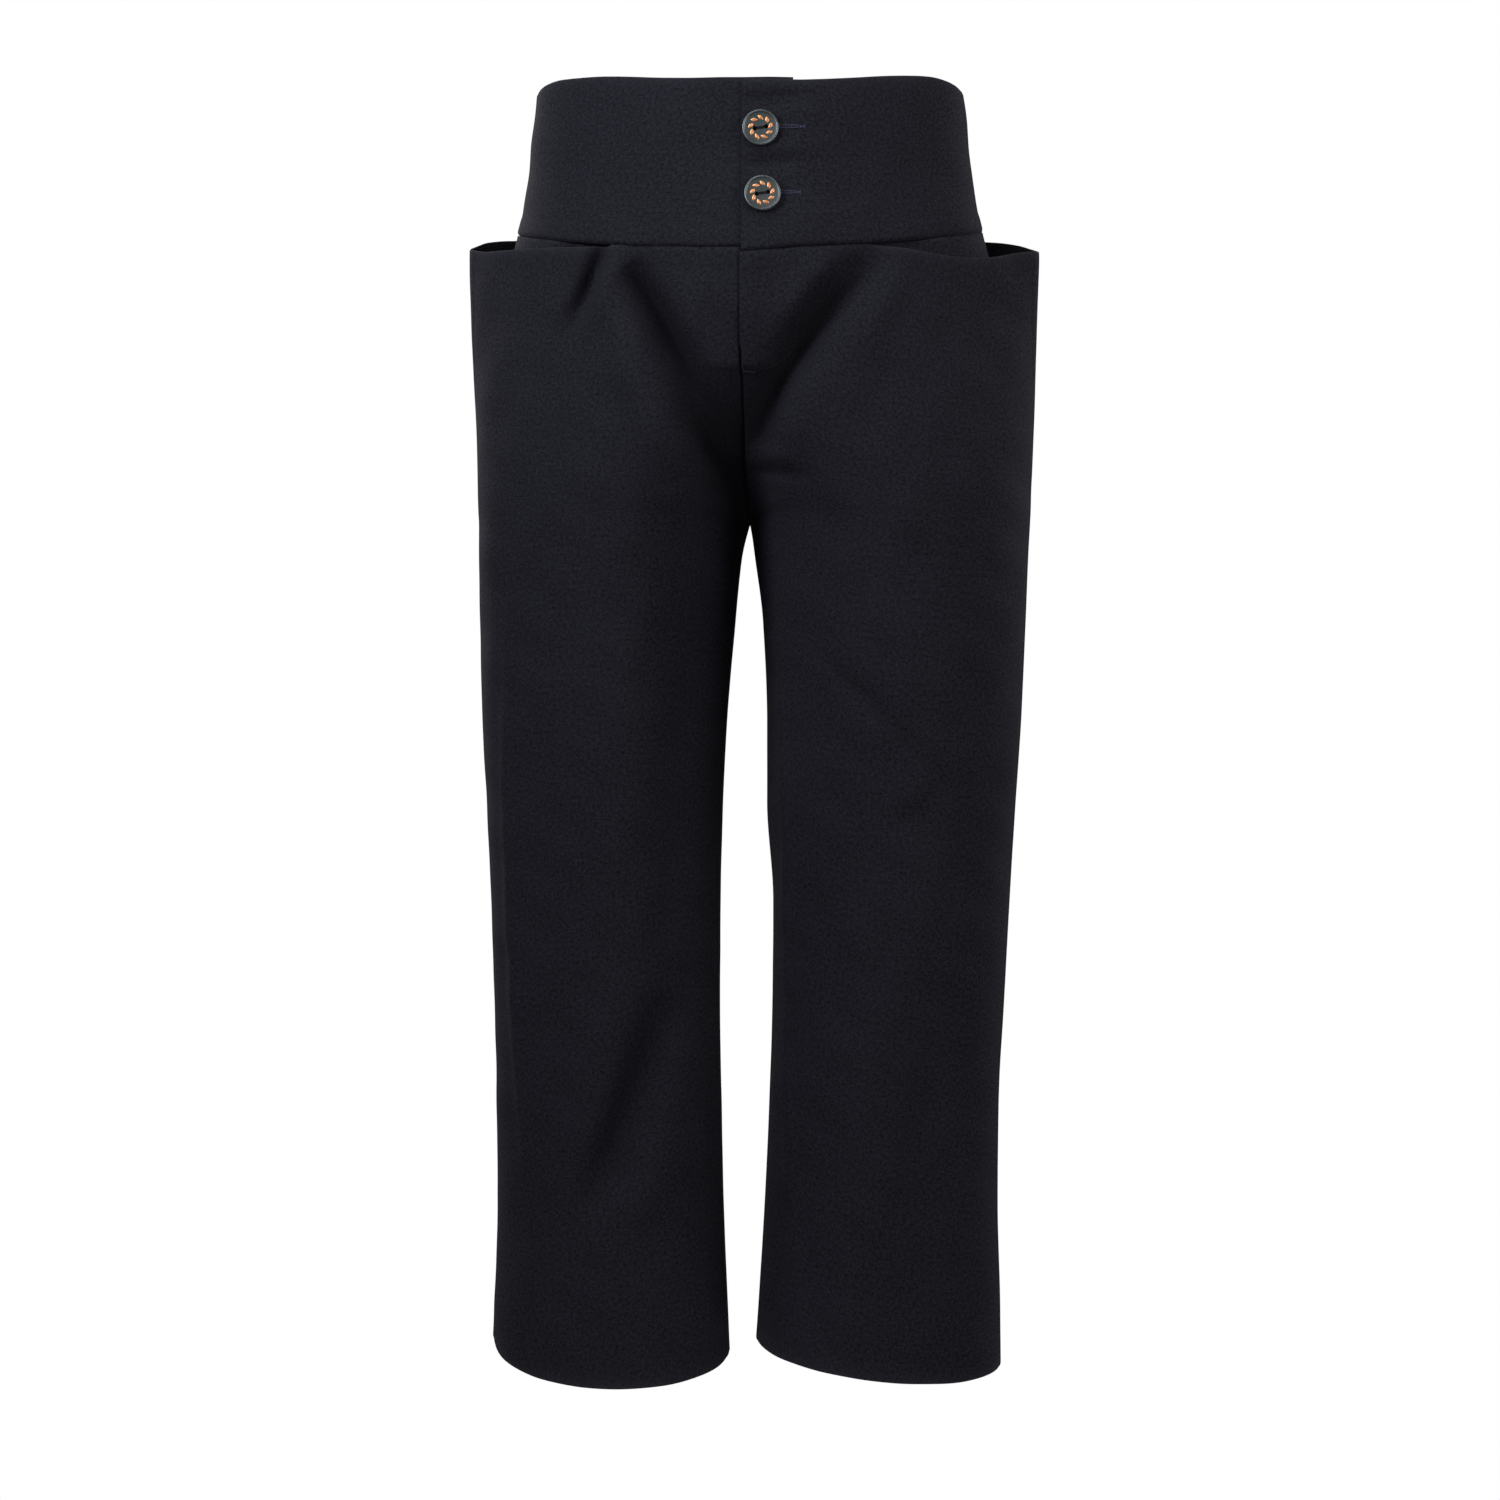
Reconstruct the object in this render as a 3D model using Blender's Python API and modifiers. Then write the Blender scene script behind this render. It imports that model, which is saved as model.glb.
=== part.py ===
"""Dress trousers on an unseen wearer: contoured waistband, hip pouch pockets, straight cropped legs.

Metres, +Z up, +X to the wearer's left, -Y to the front. The origin is the middle of the waistband's top edge.
The tables below are in millimetres. Every cloth piece is a wall lofted through rings of the body it goes
round.
"""
import bmesh
import bpy
import numpy as np
from mathutils import Matrix, Vector

MM = 0.001
EDGE_ANGLE = 0.7
SEAM_GAP = 0.3
CENTRE_HOLD = 18.0
SEAM_FADE = 0.35
CROTCH_FADE = 40.0
LEG_CLOTH = 1.5
BAND_CLOTH = 2.5
POCKET_CLOTH = 1.2

CROTCH_HEIGHT = -274.0
LEG_AXIS = 90.0
SIDE_SEAM_DROP = -88.0
FRONT_SEAM_DIP = 21.5
BACK_SEAM_DIP = 12.0
SEAM_CURVE = 0.65
MOUTH_HEIGHT = -104.0
OVERLAP_DIP = 3.0
OVERLAP_DIP_WIDTH = 22.0
UNDERLAP_REACH = 35.0
UNDERLAP_RISE = 1.9
UNDERLAP_RISE_SPREAD = 70.0
OVERLAP_LIFT = 1.5
OVERLAP_SPREAD = 60.0
UNDERLAP_SETTLE = 4.0

BUTTON_RADIUS = 11.5
BUTTON_THICKNESS = 3.4
BUTTON_RIM = 1.3
BUTTON_DISH = 0.9
BUTTON_HOLE_RADIUS = 1.35
BUTTON_HOLE_SPACING = 7.0
BUTTON_TILT = 10.0
BUTTON_SHOULDER = 0.4
BUTTON_SLOPE = 1.2
BUTTON_BEVEL = 0.6
BUTTON_UNDERCUT = 1.6
BUTTONS = {"button_top": (11.8, -34.5), "button_bottom": (13.3, -76.4)}

FRONT_COLUMNS = 28
BACK_COLUMNS = 16
BAND_COLUMNS = {"left": 20, "right": 24, "back": 32}
BAND_ROWS = 5
POCKET_COLUMNS = 12
POCKET_ROWS = 9
BUTTON_STEPS = 28
BUTTON_HOLE_SIDES = 12

POCKET_EDGE = 78.0
POCKET_FLOOR = -236.0
POCKET_FLARE = -196.0
POCKET_CLEARANCE = 0.5
POCKET_SIDE_FADE = 0.4
POCKET_BERTH = 18.0
POCKET_ROOM = 1.6

# Half girth of the waistband and its depths, height by height.
BAND_NAMES = ("height", "half_width", "front", "back")
BAND_RINGS = (
    (6, 137.5, 94.5, 84.5),
    (-27, 141.7, 98.0, 88.0),
    (-53, 144.0, 101.0, 91.5),
    (-72, 147.0, 104.0, 95.0),
    (-88, 151.0, 107.0, 98.5),
    (-115, 158.0, 110.5, 103.0),
)

# Height of the waistband's top edge from the centre, where the cosine is 0, round to the side.
BAND_TOPS = (
    (0.0, -3.0), (0.25, -2.7), (0.35, -2.1), (0.48, -0.5), (0.65, 2.5), (0.76, 4.3), (0.82, 5.3), (0.88, 5.9),
    (0.93, 5.4), (0.97, 4.3), (0.99, 3.1), (1.0, 1.4),
)

# The hip inside the pouch pockets, below the waist seam.
HIP_RINGS = (
    (-88, 151.0, 107.0, 98.5),
    (-115, 156.6, 109.5, 102.0),
    (-150, 157.0, 109.0, 105.0),
    (-200, 157.0, 107.0, 108.0),
    (-240, 157.0, 104.0, 108.0),
)

# Each leg's ring, height by height: how far its outer edge, its middle and its inner edge stand from the
# centre plane (an inner edge past that plane is negative, and the panel ends at the plane), its depths, and
# how far its side is pinched.
LEG_NAMES = ("height", "outer", "middle", "inner", "front", "back", "pinch")
LEFT_LEG = (
    (-80, 185.0, 0.0, -185.0, 108.4, 98.0, 1.55),
    (-105, 187.8, 0.0, -187.8, 110.0, 102.0, 1.55),
    (-140, 186.5, 8.0, -182.0, 110.8, 109.2, 1.42),
    (-180, 185.0, 28.0, -120.0, 109.4, 116.0, 1.18),
    (-204, 184.2, 44.0, -80.0, 108.2, 120.0, 1.06),
    (-229, 183.2, 62.0, -45.0, 106.0, 121.5, 1.0),
    (-244, 182.6, 72.0, -27.0, 104.4, 121.0, 1.0),
    (-256, 182.0, 79.0, -13.0, 103.0, 119.6, 1.0),
    (-264, 181.8, 82.5, -6.2, 102.0, 118.4, 1.0),
    (-270, 181.6, 85.0, -2.0, 101.2, 117.4, 1.0),
    (-274, 181.4, 86.4, -0.2, 100.6, 116.6, 1.0),
    (-300, 180.0, 91.0, 4.0, 97.4, 111.4, 1.0),
    (-340, 178.4, 93.6, 9.0, 93.2, 104.0, 1.0),
    (-404, 175.5, 93.6, 11.6, 87.4, 94.0, 1.0),
    (-456, 172.0, 92.6, 11.6, 83.4, 87.0, 1.0),
    (-521, 168.0, 91.6, 15.6, 79.4, 81.0, 1.0),
    (-586, 164.5, 89.6, 15.0, 76.4, 77.4, 1.0),
    (-651, 161.0, 87.0, 13.0, 74.0, 75.4, 1.0),
    (-716, 160.4, 85.2, 10.0, 72.6, 75.0, 1.0),
    (-781, 162.0, 84.0, 6.0, 72.0, 75.4, 1.0),
    (-828, 162.4, 82.6, 2.6, 72.0, 76.0, 1.0),
)
RIGHT_LEG = (
    (-80, 183.0, 0.0, -183.0, 108.4, 98.0, 1.5),
    (-105, 183.2, 0.0, -183.2, 110.0, 102.0, 1.5),
    (-140, 182.0, 8.0, -178.0, 110.8, 109.2, 1.38),
    (-180, 180.0, 28.0, -116.0, 109.4, 116.0, 1.17),
    (-204, 178.4, 44.0, -78.0, 108.2, 120.0, 1.06),
    (-229, 177.2, 61.0, -44.0, 106.0, 121.5, 1.0),
    (-244, 176.8, 70.0, -26.0, 104.4, 121.0, 1.0),
    (-256, 176.6, 76.5, -12.6, 103.0, 119.6, 1.0),
    (-264, 176.4, 80.0, -6.0, 102.0, 118.4, 1.0),
    (-270, 176.2, 82.4, -2.0, 101.2, 117.4, 1.0),
    (-274, 176.0, 84.0, -0.2, 100.6, 116.6, 1.0),
    (-300, 175.8, 89.4, 6.0, 97.4, 111.4, 1.0),
    (-340, 175.2, 92.6, 10.0, 93.2, 104.0, 1.0),
    (-404, 173.6, 94.4, 15.4, 87.4, 94.0, 1.0),
    (-456, 171.0, 94.6, 18.0, 83.4, 87.0, 1.0),
    (-521, 168.0, 93.8, 19.6, 79.4, 81.0, 1.0),
    (-586, 166.0, 93.0, 20.0, 76.4, 77.4, 1.0),
    (-651, 164.5, 91.8, 19.0, 74.0, 75.4, 1.0),
    (-716, 164.0, 90.8, 17.6, 72.6, 75.0, 1.0),
    (-781, 166.0, 90.6, 15.0, 72.0, 75.4, 1.0),
    (-828, 168.6, 90.8, 13.0, 72.0, 76.0, 1.0),
)

# Rows of the leg panels between the top edge and the hem, closest where the legs part.
LEG_ROWS = (
    -100, -110, -121, -133, -146, -160, -175, -190, -205, -220, -233, -244, -254, -262, -268, -272, -274, -277,
    -284, -296, -312, -335, -362, -395, -435, -480, -525, -570, -620, -670, -720, -772, -821,
)
TOP_BLEND = 60.0
LIP_BLEND = 8.0
ROW_EASE = 1.5
HEM_BLEND = 90.0

# Free top edges of the pocket lips. Nearer the centre is the waist seam.
LIP_NAMES = ("across", "height")
LIPS = {
    "front_left": (
        (80, -106.8), (96, -107.5), (119, -109.8), (140, -111.2), (158, -108.6), (176, -103.4), (188, -100.4),
    ),
    "front_right": ((78, -106.0), (90, -106.0), (114, -104.9), (147, -103.0), (170, -101.2), (184, -96.6)),
    "back_left": (
        (104, -96.4), (114, -92.6), (126, -89.2), (142, -87.4), (160, -89.6), (175, -93.6), (188, -100.4),
    ),
    "back_right": (
        (104, -96.4), (114, -92.6), (126, -88.6), (142, -85.2), (160, -86.8), (174, -90.0), (184, -96.6),
    ),
}

# Hem heights at the outseam, the front or back crease and the inseam, and the share of the way round from the
# outseam at which the hem hangs lowest.
HEM_NAMES = ("outseam", "crease", "inseam", "crease_share")
HEMS = {
    "front_left": (-818.6, -821.6, -803.4, 0.46),
    "front_right": (-800.0, -828.0, -813.4, 0.45),
    "back_left": (-818.6, -816.6, -803.4, 0.5),
    "back_right": (-800.0, -818.0, -813.4, 0.5),
}

# Folds as they lie over the front or the back, in true x and z: two ends and the middle of a bent line, the
# half width of the fold, its height, which is negative for a valley, and its lean, which makes one flank
# steeper than the other.
FOLD_NAMES = ("x0", "z0", "x1", "z1", "x2", "z2", "half_width", "height", "lean")
FRONT_FOLDS = {
    "left drag valley": (84, -116, 36, -172, 0, -242, 13, -12.0, -0.35),
    "left drag crease": (74, -131, 34, -176, 7, -227, 4.5, -4.0, -0.2),
    "left drag ridge": (104, -118, 74, -176, 30, -240, 16, 3.5, 0.0),
    "left waist ridge": (58, -112, 42, -130, 26, -158, 9, 4.0, 0.0),
    "left second drag": (104, -140, 80, -176, 48, -216, 8, -0.9, 0.0),
    "left crotch crease": (-2, -246, 14, -248, 38, -252, 4.5, -3.2, 0.3),
    "left crotch swell": (2, -235, 16, -237, 38, -242, 6, 2.0, 0.0),
    "left thigh drag": (44, -358, 84, -402, 128, -443, 6, -1.6, 0.3),
    "left knee drag": (130, -444, 112, -462, 88, -476, 8, -1.3, 0.0),
    "left inner ridge": (15, -296, 22, -420, 21, -570, 3.2, 3.4, 0.0),
    "left inner shin ridge": (20, -560, 25, -650, 22, -770, 4, 0.9, 0.0),
    "left shin fall": (120, -560, 112, -660, 96, -780, 22, -2.5, 0.0),
    "centre hollow": (-4, -182, -5, -222, -3, -268, 24, -9.5, 0.0),
    "right pleat": (-87, -94, -94, -118, -109, -156, 6, -9.5, 0.35),
    "right pleat ridge": (-76, -106, -83, -130, -95, -160, 8, 3.0, 0.0),
    "right drag": (-74, -117, -45, -151, -6, -250, 13, -13.5, -0.3),
    "right drag crease": (-72, -123, -58, -138, -30, -186, 4.5, -4.0, -0.2),
    "right drag ridge": (-88, -112, -70, -180, -44, -258, 14, 6.0, 0.0),
    "right crotch crease": (-27, -222, -10, -240, 1, -266, 5, -3.5, 0.0),
    "right thigh ridge": (-64, -200, -72, -380, -80, -540, 20, 4.0, 0.0),
    "right side ridge": (-166, -180, -160, -380, -156, -540, 10, 2.0, 0.0),
    "right outer ridge": (-171, -260, -163, -480, -148, -740, 3.2, 4.0, 0.0),
    "right inner fall": (-28, -280, -40, -400, -48, -560, 18, -3.5, 0.0),
    "right shin valley": (-46, -572, -70, -640, -102, -722, 13, -8.0, 0.25),
    "right shin ridge": (-76, -560, -96, -640, -122, -730, 15, 2.2, 0.0),
    "right hem ridge": (-40, -676, -58, -706, -88, -732, 14, 2.2, 0.0),
}
BACK_FOLDS = {
    "left seat drag": (74, -196, 44, -240, 6, -266, 12, -5.0, 0.0),
    "left seat ridge": (90, -214, 60, -262, 30, -292, 13, 3.0, 0.0),
    "left knee break": (32, -486, 76, -500, 124, -488, 13, -3.5, 0.0),
    "left calf valley": (118, -540, 104, -630, 92, -730, 16, -3.0, 0.0),
    "left side fall": (160, -190, 156, -330, 150, -460, 12, 2.5, 0.0),
    "right seat drag": (-80, -188, -46, -236, -6, -264, 12, -5.5, 0.0),
    "right seat ridge": (-96, -210, -62, -260, -34, -296, 13, 3.0, 0.0),
    "right knee break": (-34, -500, -78, -512, -122, -496, 14, -3.0, 0.0),
    "right calf valley": (-112, -560, -98, -650, -88, -752, 16, -3.0, 0.0),
    "right side fall": (-158, -180, -154, -320, -148, -440, 12, 2.5, 0.0),
}
FOLD_STEPS = 12
FOLD_END = 0.02
SEAM_PASSES = 4

NAVY = (0.024, 0.024, 0.037)
SLATE = (0.055, 0.075, 0.095)


def smooth_table(names, rows):
    """A function of the first column that gives the others by a monotone cubic, with no overshoot."""
    table = np.array(sorted(rows), float)
    at, values = table[:, 0], table[:, 1:]
    step = np.diff(at)[:, None]
    slope = np.diff(values, axis=0) / step
    tangent = np.zeros_like(values)
    tangent[0], tangent[-1] = slope[0], slope[-1]
    left, right = slope[:-1], slope[1:]
    same = left * right > 0
    whole = np.where(same, left + right, 1.0)
    tangent[1:-1] = np.where(same, 2 * left * right / whole, 0.0)

    def read(x):
        x = np.clip(np.asarray(x, float), at[0], at[-1])
        i = np.clip(np.searchsorted(at, x) - 1, 0, len(at) - 2)
        h = at[i + 1] - at[i]
        t = ((x - at[i]) / h)[..., None]
        h = h[..., None]
        found = (
            (2 * t**3 - 3 * t**2 + 1) * values[i]
            + (t**3 - 2 * t**2 + t) * h * tangent[i]
            + (3 * t**2 - 2 * t**3) * values[i + 1]
            + (t**3 - t**2) * h * tangent[i + 1]
        )
        return {name: found[..., k] for k, name in enumerate(names[1:])}

    return read


def smooth_step(x):
    x = np.clip(x, 0.0, 1.0)
    return x * x * (3 - 2 * x)


band_ring = smooth_table(BAND_NAMES, BAND_RINGS)
band_top = smooth_table(("cosine", "height"), BAND_TOPS)
hip_ring = smooth_table(BAND_NAMES, HIP_RINGS)
leg_ring = {1: smooth_table(LEG_NAMES, LEFT_LEG), -1: smooth_table(LEG_NAMES, RIGHT_LEG)}
lips = {name: smooth_table(LIP_NAMES, rows) for name, rows in LIPS.items()}


def fold_lines(folds):
    """Each fold's bent line as points, with its half width, height and lean."""
    lines = []
    for row in folds.values():
        fold = dict(zip(FOLD_NAMES, row))
        t = np.linspace(0, 1, FOLD_STEPS + 1)[:, None]
        ends = [np.array([fold[f"x{k}"], fold[f"z{k}"]], float) for k in range(3)]
        line = (1 - t) ** 2 * ends[0] + 2 * t * (1 - t) * ends[1] + t**2 * ends[2]
        lines.append((line, fold["half_width"], fold["height"], fold["lean"]))
    return lines


FOLDS = {"front": fold_lines(FRONT_FOLDS), "back": fold_lines(BACK_FOLDS)}


def fold_height(face, x, z):
    """How far the cloth stands out (or in) at a place on one face: a soft trough or ridge about each line."""
    place = np.stack([x, z], axis=-1)
    total = np.zeros(x.shape)
    for line, half_width, height, lean in FOLDS[face]:
        nearest = np.full(x.shape, np.inf)
        along = np.zeros(x.shape)
        beside = np.zeros(x.shape)
        for k in range(FOLD_STEPS):
            start, run = line[k], line[k + 1] - line[k]
            t = np.clip(((place - start) @ run) / (run @ run), 0, 1)
            from_line = place - start - t[..., None] * run
            away = np.linalg.norm(from_line, axis=-1)
            turned = np.sign(run[0] * from_line[..., 1] - run[1] * from_line[..., 0])
            closer = away < nearest
            nearest = np.where(closer, away, nearest)
            along = np.where(closer, (k + t) / FOLD_STEPS, along)
            beside = np.where(closer, turned, beside)
        swell = np.sin(np.pi * np.clip(along, FOLD_END, 1 - FOLD_END))
        width = half_width * (1 + lean * beside * swell)
        total += height * np.sqrt(swell) * np.exp(-((nearest / width) ** 2))
    return total


def waist_seam(face, cosine):
    """Height of the waistband's lower edge, from the side, where the cosine is 1, round to the centre."""
    dip = FRONT_SEAM_DIP if face == "front" else BACK_SEAM_DIP
    return SIDE_SEAM_DROP - dip * np.clip(1 - cosine**2, 0, 1) ** SEAM_CURVE


def waist_seam_at(face, across):
    """The same height at a distance from the centre plane."""
    height = np.full(np.shape(across), MOUTH_HEIGHT)
    for _ in range(SEAM_PASSES):
        height = waist_seam(face, np.clip(across / band_ring(height)["half_width"], 0, 1))
    return height


def overlap_dip(x):
    return OVERLAP_DIP * np.exp(-((x / OVERLAP_DIP_WIDTH) ** 2))


def half_width(ring, cosine):
    """Half width of a leg's ring on the outseam's side of its middle, or on the inseam's."""
    return np.where(cosine > 0, ring["outer"] - ring["middle"], ring["middle"] - ring["inner"])


def leg_depth(ring, face, sine, inset=0.0):
    """How far the ring stands in front of or behind the side seams' plane."""
    return (ring[face] - inset) * np.abs(sine) ** ring["pinch"]


def leg_point(side, face, angle, height, inset=0.0):
    """A point of the leg's ring at an angle from the outseam."""
    ring = leg_ring[side](height)
    cosine = np.cos(angle)
    out = leg_depth(ring, face, np.sin(angle), inset)
    across = side * (ring["middle"] + (half_width(ring, cosine) - inset) * cosine)
    return np.stack([across, (-out if face == "front" else out), height + 0 * angle], axis=-1)


def end_angle(side, height):
    """The angle at which the ring meets the centre plane, or half a turn where the leg is closed."""
    ring = leg_ring[side](height)
    return np.arccos(np.clip(-ring["middle"] / half_width(ring, np.float64(-1)), -1, 1))


def across_at(side, share, height):
    return np.abs(leg_point(side, "front", share * end_angle(side, height), height)[..., 0])


def top_height(side, face, share):
    """Height of a leg panel's top edge: the waist seam near the centre, the pocket's free lip outside it."""
    name = f"{face}_{'left' if side > 0 else 'right'}"
    across = across_at(side, share, np.full(share.shape, MOUTH_HEIGHT))
    seam = waist_seam_at(face, across) - SEAM_GAP
    if name == "front_left":
        seam = seam - overlap_dip(across)
    lip_start = LIPS[name][0][0]
    mix = smooth_step((across - lip_start) / (2 * LIP_BLEND) + 0.5)
    return seam * (1 - mix) + lips[name](across)["height"] * mix


def hem_height(side, face, share):
    name = f"{face}_{'left' if side > 0 else 'right'}"
    hem = dict(zip(HEM_NAMES, HEMS[name]))
    swing = np.sin(np.pi * share ** (np.log(0.5) / np.log(hem["crease_share"])))
    ends = hem["outseam"] * (1 - smooth_step(share)) + hem["inseam"] * smooth_step(share)
    middle = (hem["outseam"] + hem["inseam"]) / 2
    return ends + (hem["crease"] - middle) * swing


def leg_heights(side, face, shares):
    """Heights of the panel's grid: level rows in the middle, bent to the top edge and the hem at the ends."""
    rows = np.array(LEG_ROWS, float)[:, None]
    top, hem = top_height(side, face, shares)[None, :], hem_height(side, face, shares)[None, :]
    near_top = np.clip(1 - (rows[0] - rows) / TOP_BLEND, 0, 1) ** ROW_EASE
    near_hem = np.clip(1 - (rows - rows[-1]) / HEM_BLEND, 0, 1) ** ROW_EASE
    return rows + near_top * (top - rows[0]) + near_hem * (hem - rows[-1])


def leg_surface(side, face, angle, heights, inset=0.0):
    """The leg's ring with its folds, which fade out towards the side and inner leg seams."""
    point = leg_point(side, face, angle, heights, inset)
    ring = leg_ring[side](heights)
    cosine = np.cos(angle)
    away = -1.0 if face == "front" else 1.0
    outward = np.stack([side * cosine / half_width(ring, cosine), away * np.sin(angle) / ring[face]], axis=-1)
    outward /= np.linalg.norm(outward, axis=-1, keepdims=True)
    outward[..., 0] *= np.clip(np.abs(point[..., 0]) / CENTRE_HOLD, 0, 1)
    closed = smooth_step((CROTCH_HEIGHT - heights) / CROTCH_FADE)
    fade = smooth_step(angle / SEAM_FADE) * (1 - closed * (1 - smooth_step((np.pi - angle) / SEAM_FADE)))
    point[..., :2] += outward * (fold_height(face, point[..., 0], heights) * fade)[..., None]
    return point


def outward_normals(points, centre):
    """Unit normals of a grid of points, by differences along its rows and columns, away from an axis."""
    normal = np.cross(np.gradient(points, axis=1), np.gradient(points, axis=0))
    normal /= np.linalg.norm(normal, axis=-1, keepdims=True)
    from_axis = (points - [centre, 0, 0])[..., :2]
    return normal * np.sign(np.sum(normal[..., :2] * from_axis))


def wall(name, outer, inner, material, collection):
    """A closed wall between two grids of points: outer face, inner face and a strip round the border."""
    rows, columns = outer.shape[:2]
    mesh = bpy.data.meshes.new(name)
    shape = bmesh.new()
    skins = []
    for grid in (outer, inner):
        skin = [[shape.verts.new(Vector(point) * MM) for point in row] for row in grid]
        skins.append(skin)
    out, back = skins
    for i in range(rows - 1):
        for j in range(columns - 1):
            shape.faces.new((out[i][j], out[i][j + 1], out[i + 1][j + 1], out[i + 1][j]))
            shape.faces.new((back[i][j], back[i + 1][j], back[i + 1][j + 1], back[i][j + 1]))
    border = [(0, j) for j in range(columns)]
    border += [(i, columns - 1) for i in range(1, rows)]
    border += [(rows - 1, j) for j in range(columns - 2, -1, -1)]
    border += [(i, 0) for i in range(rows - 2, 0, -1)]
    for (i, j), (k, m) in zip(border, border[1:] + border[:1]):
        shape.faces.new((out[i][j], back[i][j], back[k][m], out[k][m]))
    bmesh.ops.recalc_face_normals(shape, faces=shape.faces)
    bmesh.ops.triangulate(shape, faces=shape.faces)
    for face in shape.faces:
        face.smooth = True
    shape.to_mesh(mesh)
    shape.free()
    mesh.materials.append(material)
    mesh.set_sharp_from_angle(angle=EDGE_ANGLE)
    piece = bpy.data.objects.new(name, mesh)
    collection.objects.link(piece)
    return piece


def keep_clear(points, side, face):
    """Holds points on their own side of the centre plane and of the side seams' plane."""
    held = points.copy()
    half_gap = SEAM_GAP / 2
    held[..., 0] = side * np.maximum(side * held[..., 0], half_gap)
    away = -1 if face == "front" else 1
    held[..., 1] = away * np.maximum(away * held[..., 1], half_gap)
    return held


def leg_panel(side, face, material, collection):
    """One front or back leg panel, from the outseam to the centre seam and the inseam."""
    name = f"{face}_{'left' if side > 0 else 'right'}"
    shares = np.linspace(0, 1, (FRONT_COLUMNS if face == "front" else BACK_COLUMNS) + 1)
    heights = leg_heights(side, face, shares)
    outer = leg_surface(side, face, shares * end_angle(side, heights), heights)
    inner = outer - LEG_CLOTH * outward_normals(outer, side * LEG_AXIS)
    inner[..., 2] = np.minimum(inner[..., 2], heights[0])
    return wall(name, keep_clear(outer, side, face), keep_clear(inner, side, face), material, collection)


def band_point(face, angle, height, inset=0.0):
    """A point of the waistband's ring: angle 0 is the wearer's left side, half a turn the right."""
    ring = band_ring(height)
    across = (ring["half_width"] - inset) * np.cos(angle)
    out = (ring[face] - inset) * np.sin(angle)
    return np.stack([across, (-out if face == "front" else out), height + 0 * angle], axis=-1)


def band_piece(name, face, angles, material, collection, lift=None, rise=None, dip=None):
    """A contoured piece of the waistband between two angles, lifted off the ring where two ends lap."""
    top = band_top(np.abs(np.cos(angles)))["height"]
    bottom = waist_seam(face, np.cos(angles))
    across = band_ring(SIDE_SEAM_DROP)["half_width"] * np.cos(angles)
    if dip is not None:
        bottom = bottom - dip(across)
    if rise is not None:
        top = top + rise(across)
    t = np.linspace(0, 1, BAND_ROWS + 1)[:, None]
    heights = top * (1 - t) + bottom * t
    skins = []
    for inset in (0.0, BAND_CLOTH):
        point = band_point(face, angles + 0 * heights, heights, inset)
        if lift is not None:
            point[..., 1] -= lift(point[..., 0])
        away = -1 if face == "front" else 1
        point[..., 1] = away * np.maximum(away * point[..., 1], SEAM_GAP / 2)
        skins.append(point)
    return wall(name, skins[0], skins[1], material, collection)


def overlap_lift(x):
    """The left end of the band rides over the right one, easing off round the front."""
    return OVERLAP_LIFT * (1 - smooth_step((np.abs(x) - UNDERLAP_REACH) / OVERLAP_SPREAD))


def underlap_rise(x):
    return UNDERLAP_RISE * (1 - smooth_step(np.abs(x) / UNDERLAP_RISE_SPREAD - 1))


def underlap_lift(x):
    """The right end dips under the left one from the centre front on."""
    sunk = BAND_CLOTH + SEAM_GAP - OVERLAP_LIFT
    return -sunk * smooth_step((x + OVERLAP_SPREAD) / (OVERLAP_SPREAD - UNDERLAP_SETTLE))


def waistband(material, collection):
    centre = np.pi / 2
    reach = np.arccos(UNDERLAP_REACH / band_ring(SIDE_SEAM_DROP)["half_width"])
    left = np.linspace(0, centre, BAND_COLUMNS["left"] + 1)
    right = np.linspace(np.pi, reach, BAND_COLUMNS["right"] + 1)
    back = np.linspace(0, np.pi, BAND_COLUMNS["back"] + 1)
    band_piece(
        "waistband_front_left", "front", left, material, collection, lift=overlap_lift, dip=overlap_dip,
    )
    band_piece(
        "waistband_front_right", "front", right, material, collection, lift=underlap_lift, rise=underlap_rise
    )
    band_piece("waistband_back", "back", back, material, collection)


def hip_pocket(side, material, collection):
    """The inner side of a pouch pocket: it hangs from the waist seam and curves out to the leg below."""
    name = f"pocket_{'left' if side > 0 else 'right'}"
    reach = np.arccos(POCKET_EDGE / leg_ring[side](MOUTH_HEIGHT)["outer"])
    hip_reach = np.arccos(POCKET_EDGE / band_ring(MOUTH_HEIGHT)["half_width"])
    turn = np.linspace(-1, 1, POCKET_COLUMNS + 1)
    t = np.linspace(0, 1, POCKET_ROWS + 1)[:, None]
    inset = LEG_CLOTH + SEAM_GAP + POCKET_CLEARANCE
    halves = []
    for face, part in (("back", turn[turn < 0]), ("front", turn[turn >= 0])):
        angle, hip_angle = np.abs(part) * reach, np.abs(part) * hip_reach
        heights = (waist_seam(face, np.cos(hip_angle)) - SEAM_GAP) * (1 - t) + POCKET_FLOOR * t
        on_leg = leg_surface(side, face, angle + 0 * heights, heights, inset)
        ring = hip_ring(heights)
        away = -1 if face == "front" else 1
        on_hip = np.stack(
            [
                side * (ring["half_width"] - SEAM_GAP) * np.cos(hip_angle),
                away * (ring[face] - SEAM_GAP) * np.sin(hip_angle),
                heights,
            ],
            axis=-1,
        )
        above_floor = smooth_step((heights - POCKET_FLOOR) / (POCKET_FLARE - POCKET_FLOOR))
        free = above_floor * smooth_step((1 - np.abs(part)) / POCKET_SIDE_FADE)
        point = on_leg * (1 - free[..., None]) + on_hip * free[..., None]
        halves.append(inside_leg(side, face, point, inset))
    outer = np.concatenate(halves, axis=1)
    inner = outer - POCKET_CLOTH * outward_normals(outer, 0.0)
    return wall(name, outer, inner, material, collection)


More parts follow.
